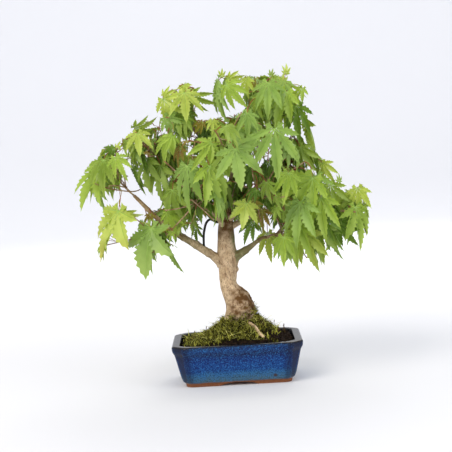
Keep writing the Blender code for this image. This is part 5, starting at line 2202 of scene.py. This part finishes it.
    @staticmethod
    def blades(places: Array, ways: Array, lengths: Array, widths: Array, curl: Array) -> Skin:
        """Narrow bent strands.

        A strand's middle line runs from its root along its way and bends over towards curl with the
        square of its length. It narrows from its width to a point over three stretches.

        Args:
            places: roots, of shape (strands, 3).
            ways: directions.
            lengths: in millimetres.
            widths: in millimetres.
            curl: sideways bend at the tip, as a share of the length.

        Returns:
            The skin.
        """
        t = np.array((0.0, 0.4, 0.75, 1.0))[None, :, None]
        bend = ways[:, None] * t + curl[:, None] * t ** 2
        line = places[:, None] + lengths[:, None, None] * bend
        across = unit(np.cross(ways, unit(curl + (0.01, 0.02, 0.0))))[:, None]
        half = widths[:, None, None] * np.array((1.0, 0.85, 0.5, 0.08))[None, :, None] / 2
        points = np.stack((line - across * half, line + across * half), axis=2)
        skin = Skin()
        skin.add(points, repeated(grid_faces(4, 2, closed=False), len(places), 4 * 2))
        return skin

    def moss(self) -> list[Skin]:
        """The moss strands, dealt out by clump into three colours. Some climb the trunk's foot.

        Returns:
            Three skins, from dark to bright.
        """
        rng = self.rng
        places, normals = self.mossy_places(self.strands, 3)
        high, turn = rng.random(self.climbers) ** 1.3, rng.uniform(0, 2 * np.pi, self.climbers)
        outward = np.stack((np.cos(turn), np.sin(turn), 0.25 + 0 * turn), axis=1)
        z = 55.0 + (10.0 + 7.0 * np.cos(turn + 0.3) + 4.0 * np.sin(5 * turn)) * high
        stations = np.array(TRUNK_STATIONS).T
        x, y, wide = (np.interp(z, stations[2], stations[k]) for k in (0, 1, 3))
        climbing = np.stack((x, y, z), axis=1) + outward * wide[:, None] * (1.04, 1.04, 0)
        places = np.concatenate((places, climbing))
        normals = np.concatenate((normals, unit(outward)))
        count = len(places)
        ways = unit(normals * 0.7 + (0, 0, 0.7) + rng.normal(0, 0.45, (count, 3)))
        x, y = places[:, 0], places[:, 1]
        clump = np.sin(x * 0.52 + 2 * np.sin(y * 0.3)) * np.sin(y * 0.6)
        lengths = rng.uniform(2.0, 5.6, count) * (1 + 0.3 * clump)
        widths = rng.uniform(0.4, 0.9, count)
        curl = rng.normal(0, 0.3, (count, 3)) * (1, 1, 0.2) - (0, 0, 0.12)
        pick = clump + rng.normal(0, 0.75, count)
        groups = np.digitize(pick, np.quantile(pick, (0.42, 0.78)))
        return [self.blades(*(part[groups == g] for part in (places, ways, lengths, widths, curl)))
                for g in range(3)]

    def straw(self) -> Skin:
        """Long pale dead strands that lie over the moss.

        Returns:
            The skin.
        """
        rng = self.rng
        places, normals = self.mossy_places(self.straws, 4)
        count = len(places)
        ways = unit(normals * 0.35 + rng.normal(0, 0.6, (count, 3)) * (1, 1, 0.25) + (0, 0, 0.3))
        lengths = rng.uniform(5.0, 13.0, count)
        curl = rng.normal(0, 0.35, (count, 3)) * (1, 1, 0.1) - (0, 0, 0.25)
        widths = rng.uniform(0.4, 0.8, count)
        return self.blades(places + (0, 0, self.straw_lift), ways, lengths, widths, curl)

    def capsules(self) -> Skin:
        """The moss's fruiting stalks: thin upright tubes that end in a small swollen capsule.

        Returns:
            The skin.
        """
        places, _ = self.scatter(self.capsule_tries)
        chosen = [np.flatnonzero(np.hypot(places[:, 0] - x, places[:, 1] - y) < spread)[:count]
                  for x, y, spread, count in self.capsule_spots]
        roots = places[np.concatenate(chosen)]
        t = np.linspace(0, 1, 9)[None, :, None]
        lean = self.rng.normal(0, 0.16, (len(roots), 1, 3)) * (1, 1, 0)
        lengths = self.rng.uniform(4.0, 9.0, (len(roots), 1, 1))
        lines = roots[:, None] + lengths * (t * (0, 0, 1.0) + lean * t ** 1.6)
        bulge = 0.28 + 0.35 * bell(t[..., 0] - 0.93, 0.06)
        skin = Skin()
        skin.tubes(lines, np.broadcast_to(bulge, lines.shape[:2]), 5)
        return skin

    def crumbs_skin(self) -> Skin:
        """Crumbs of soil: eight-sided lumps of random size and turn, half sunk.

        Returns:
            The skin.
        """
        places, _ = self.scatter(self.crumbs * 2)
        bare = self.rng.random(len(places)) > self.mossy(places) * 0.8
        places = places[bare][:self.crumbs]
        count = len(places)
        axes = np.vstack((np.eye(3), -np.eye(3)))
        turn = np.linalg.qr(self.rng.normal(size=(count, 3, 3)))[0]
        size = self.rng.gamma(2.2, 0.28, (count, 1, 1)) + 0.25
        stretch = self.rng.uniform(0.6, 1.25, (count, 1, 3))
        points = places[:, None] + size * ((axes[None] * stretch) @ turn)
        faces = np.array([(0, 1, 2), (1, 3, 2), (3, 4, 2), (4, 0, 2),
                          (1, 0, 5), (3, 1, 5), (4, 3, 5), (0, 4, 5)])
        skin = Skin()
        skin.add(points, repeated(faces, count, len(axes)))
        return skin

    def fibres(self) -> Skin:
        """Pale root ends in the soil behind the front rim: short bent tubes that dip at both ends.

        Returns:
            The skin.
        """
        skin = Skin()
        t = np.linspace(0, 1, 14)
        for x, y, reach, turn, thick in self.fibre_ends:
            way = np.array((math.cos(turn), math.sin(turn) * 0.4, 0.0))
            line = np.array((x, y, self.fibre_height)) + way * reach * (t[:, None] - 0.5)
            line[:, 2] += 1.6 * np.sin(np.pi * t) + 0.5 * np.sin(7 * t + x)
            line[:, 1] += 0.8 * np.sin(5 * t + turn)
            skin.tubes(line[None], (thick * (1 - 0.5 * t) + self.rng.uniform(0, 0.1))[None], 7)
        return skin


# The studio


@dataclass
class Studio:
    """A pale seamless floor, soft light and the camera of the photograph."""

    frame: PotFrame
    view: FrontView
    flat: float = 1900.0
    rise: float = 1100.0
    spokes: int = 96
    sky: float = 0.74
    look: tuple[float, float, float] = (0.0, 0.0, 0.17)

    def build(self) -> None:
        """Puts up the floor, the lights and the camera."""
        scene = bpy.context.scene
        scene.view_settings.view_transform = "Standard"
        self.floor()
        self.lights(scene)
        self.camera(scene)

    def floor(self) -> None:
        """A round floor whose edge curves up into a wall, the same from all sides: its height is
        zero as far as flat, in mm, and then rises on a quarter circle. Reflections pass it by."""
        turn = np.linspace(0, np.pi / 2, 16)[1:, None]
        level = np.linspace(20, self.flat, 10)[:, None]
        radius = np.vstack((level, self.flat + self.rise * np.sin(turn)))
        height = np.vstack((0 * level, self.rise * (1 - np.cos(turn))))
        angle = np.linspace(0, 2 * np.pi, self.spokes, endpoint=False)[None]
        points = np.stack(
            (radius * np.cos(angle), radius * np.sin(angle), height + 0 * angle), axis=-1)
        mesh = bpy.data.meshes.new("studio_floor")
        faces = grid_faces(len(radius), self.spokes)[:, ::-1].tolist() + [list(range(self.spokes))]
        mesh.from_pydata((points.reshape(-1, 3) * MM).tolist(), [], faces)
        mesh.polygons.foreach_set("use_smooth", [True] * len(mesh.polygons))
        material, _, _ = new_material("pale_paper_backdrop", {
            "Base Color": linear("#D9DADE"), "Roughness": 0.9, "Specular IOR Level": 0.1})
        mesh.materials.append(material)
        floor = bpy.data.objects.new("studio_floor", mesh)
        bpy.context.scene.collection.objects.link(floor)
        floor.visible_glossy = False

    def lights(self, scene: bpy.types.Scene) -> None:
        """A pale sky, three large soft lights on the object, and four on the wall round it.

        Args:
            scene: what they light.
        """
        world = bpy.data.worlds.new("studio_sky")
        world.use_nodes = True
        sky = world.node_tree.nodes["Background"].inputs
        sky["Color"].default_value, sky["Strength"].default_value = linear("#FAFBFF"), self.sky
        scene.world = world
        object_at = Vector(self.look) + Vector(self.frame.middle)
        wall = [(f"wall_light_{side}", (1.3 * x, 1.3 * y, 1.7), (2.9 * x, 2.9 * y, 0.3),
                 1.6, 18.0, "#FFFFFF")
                for side, (x, y) in enumerate(((1, 0), (0, 1), (-1, 0), (0, -1)))]
        for name, place, target, size, watts, code in (
                ("key_light", (-0.9, -1.1, 1.5), object_at, 1.1, 21.0, "#FFF8EE"),
                ("fill_light", (1.2, -0.9, 0.9), object_at, 1.2, 6.0, "#F2F6FF"),
                ("back_light", (0.3, 1.3, 1.3), object_at, 1.2, 11.0, "#FFFDF6"), *wall):
            data = bpy.data.lights.new(name, "AREA")
            data.shape, data.size, data.energy, data.color = "DISK", size, watts, linear(code)[:3]
            light = bpy.data.objects.new(name, data)
            scene.collection.objects.link(light)
            light.location = place
            way = Vector(target) - Vector(place)
            light.rotation_euler = way.to_track_quat("-Z", "Y").to_euler()

    def camera(self, scene: bpy.types.Scene) -> None:
        """Sets up the camera, level with the crown and turned a little on its axis, as the
        photograph is.

        Args:
            scene: what it shows.
        """
        view = self.view
        data = bpy.data.cameras.new("photo_camera")
        data.angle = math.radians(view.angle)
        data.shift_x = -view.shift / view.picture
        camera = bpy.data.objects.new("photo_camera", data)
        scene.collection.objects.link(camera)
        place = Vector(self.frame.place(view.camera))
        target = Vector(self.frame.place(np.array((0.0, 0.0, view.look))))
        turn = (target - place).to_track_quat("-Z", "Y").to_matrix().to_4x4()
        camera.matrix_world = (Matrix.Translation(place) @ turn
                               @ Matrix.Rotation(math.radians(-view.roll), 4, "Z"))
        scene.camera = camera


def main() -> None:
    """Builds the classes in order and reports each piece."""
    logging.basicConfig(level=logging.INFO, format="%(message)s")
    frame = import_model()
    pot_frame, view, skeleton = PotFrame.from_pot(), FrontView(), Skeleton()
    bark, wire = BarkFinish().build(), WireFinish().build()
    boughs, masses = [limb.name for limb in LIMBS], [mass.name for mass in MASSES]
    pot_frame.piece("bark_trunk", Trunk().bark(), bark, "bark", ["trunk"])
    pot_frame.piece("bark_boughs", Boughs(skeleton).bark(), bark, "bark", boughs)
    pot_frame.piece("black_wire", TrainingWire().skin(), wire, "wire", ["training_wire"])

    crown = Crown(skeleton, view)
    crown.grow()
    leaf_skins, veins = crown.leaf_skins()
    for tint, skin in leaf_skins.items():
        pot_frame.piece(tint.value, skin, LEAF_FINISHES[tint].build(), "foliage", masses)
    pot_frame.piece("leaf_veins", veins, PLAIN_FINISHES["leaf_veins"].build(), "foliage")
    pot_frame.piece("twigs", crown.twig_skin(), bark, "bark")
    for name, skin in zip(("red_stalks", "green_stalks"), crown.stalk_skins()):
        pot_frame.piece(name, skin, PLAIN_FINISHES[name].build(), "bark")

    pot = Pot()
    glaze = GlazeFinish().build(pot_frame.middle)
    shell = pot_frame.piece("glazed_pot", pot.skin(), glaze, "pot", ["pot"])
    pot.cut_drains(shell, pot_frame)

    soil = PLAIN_FINISHES["soil"].build()
    frame["nodes"]["soil"].data.materials.clear()
    frame["nodes"]["soil"].data.materials.append(soil)
    ground = Ground(frame["nodes"]["moss"], pot_frame)
    pot_frame.piece("earth_mound", ground.mound(), soil, "soil", ["moss"])
    pot_frame.piece("soil_crumbs", ground.crumbs_skin(), soil, "soil", flat=True)
    for name, skin in (*zip(("dark_moss", "olive_moss", "bright_moss"), ground.moss()),
                       ("moss_straw", ground.straw()), ("moss_capsules", ground.capsules())):
        pot_frame.piece(name, skin, PLAIN_FINISHES[name].build(), "moss")
    pot_frame.piece("surface_root", ground.root(), bark, "bark")
    pot_frame.piece("root_fibres", ground.fibres(), PLAIN_FINISHES["root_fibres"].build(), "bark")

    Studio(pot_frame, view).build()


if __name__ == "__main__":
    main()
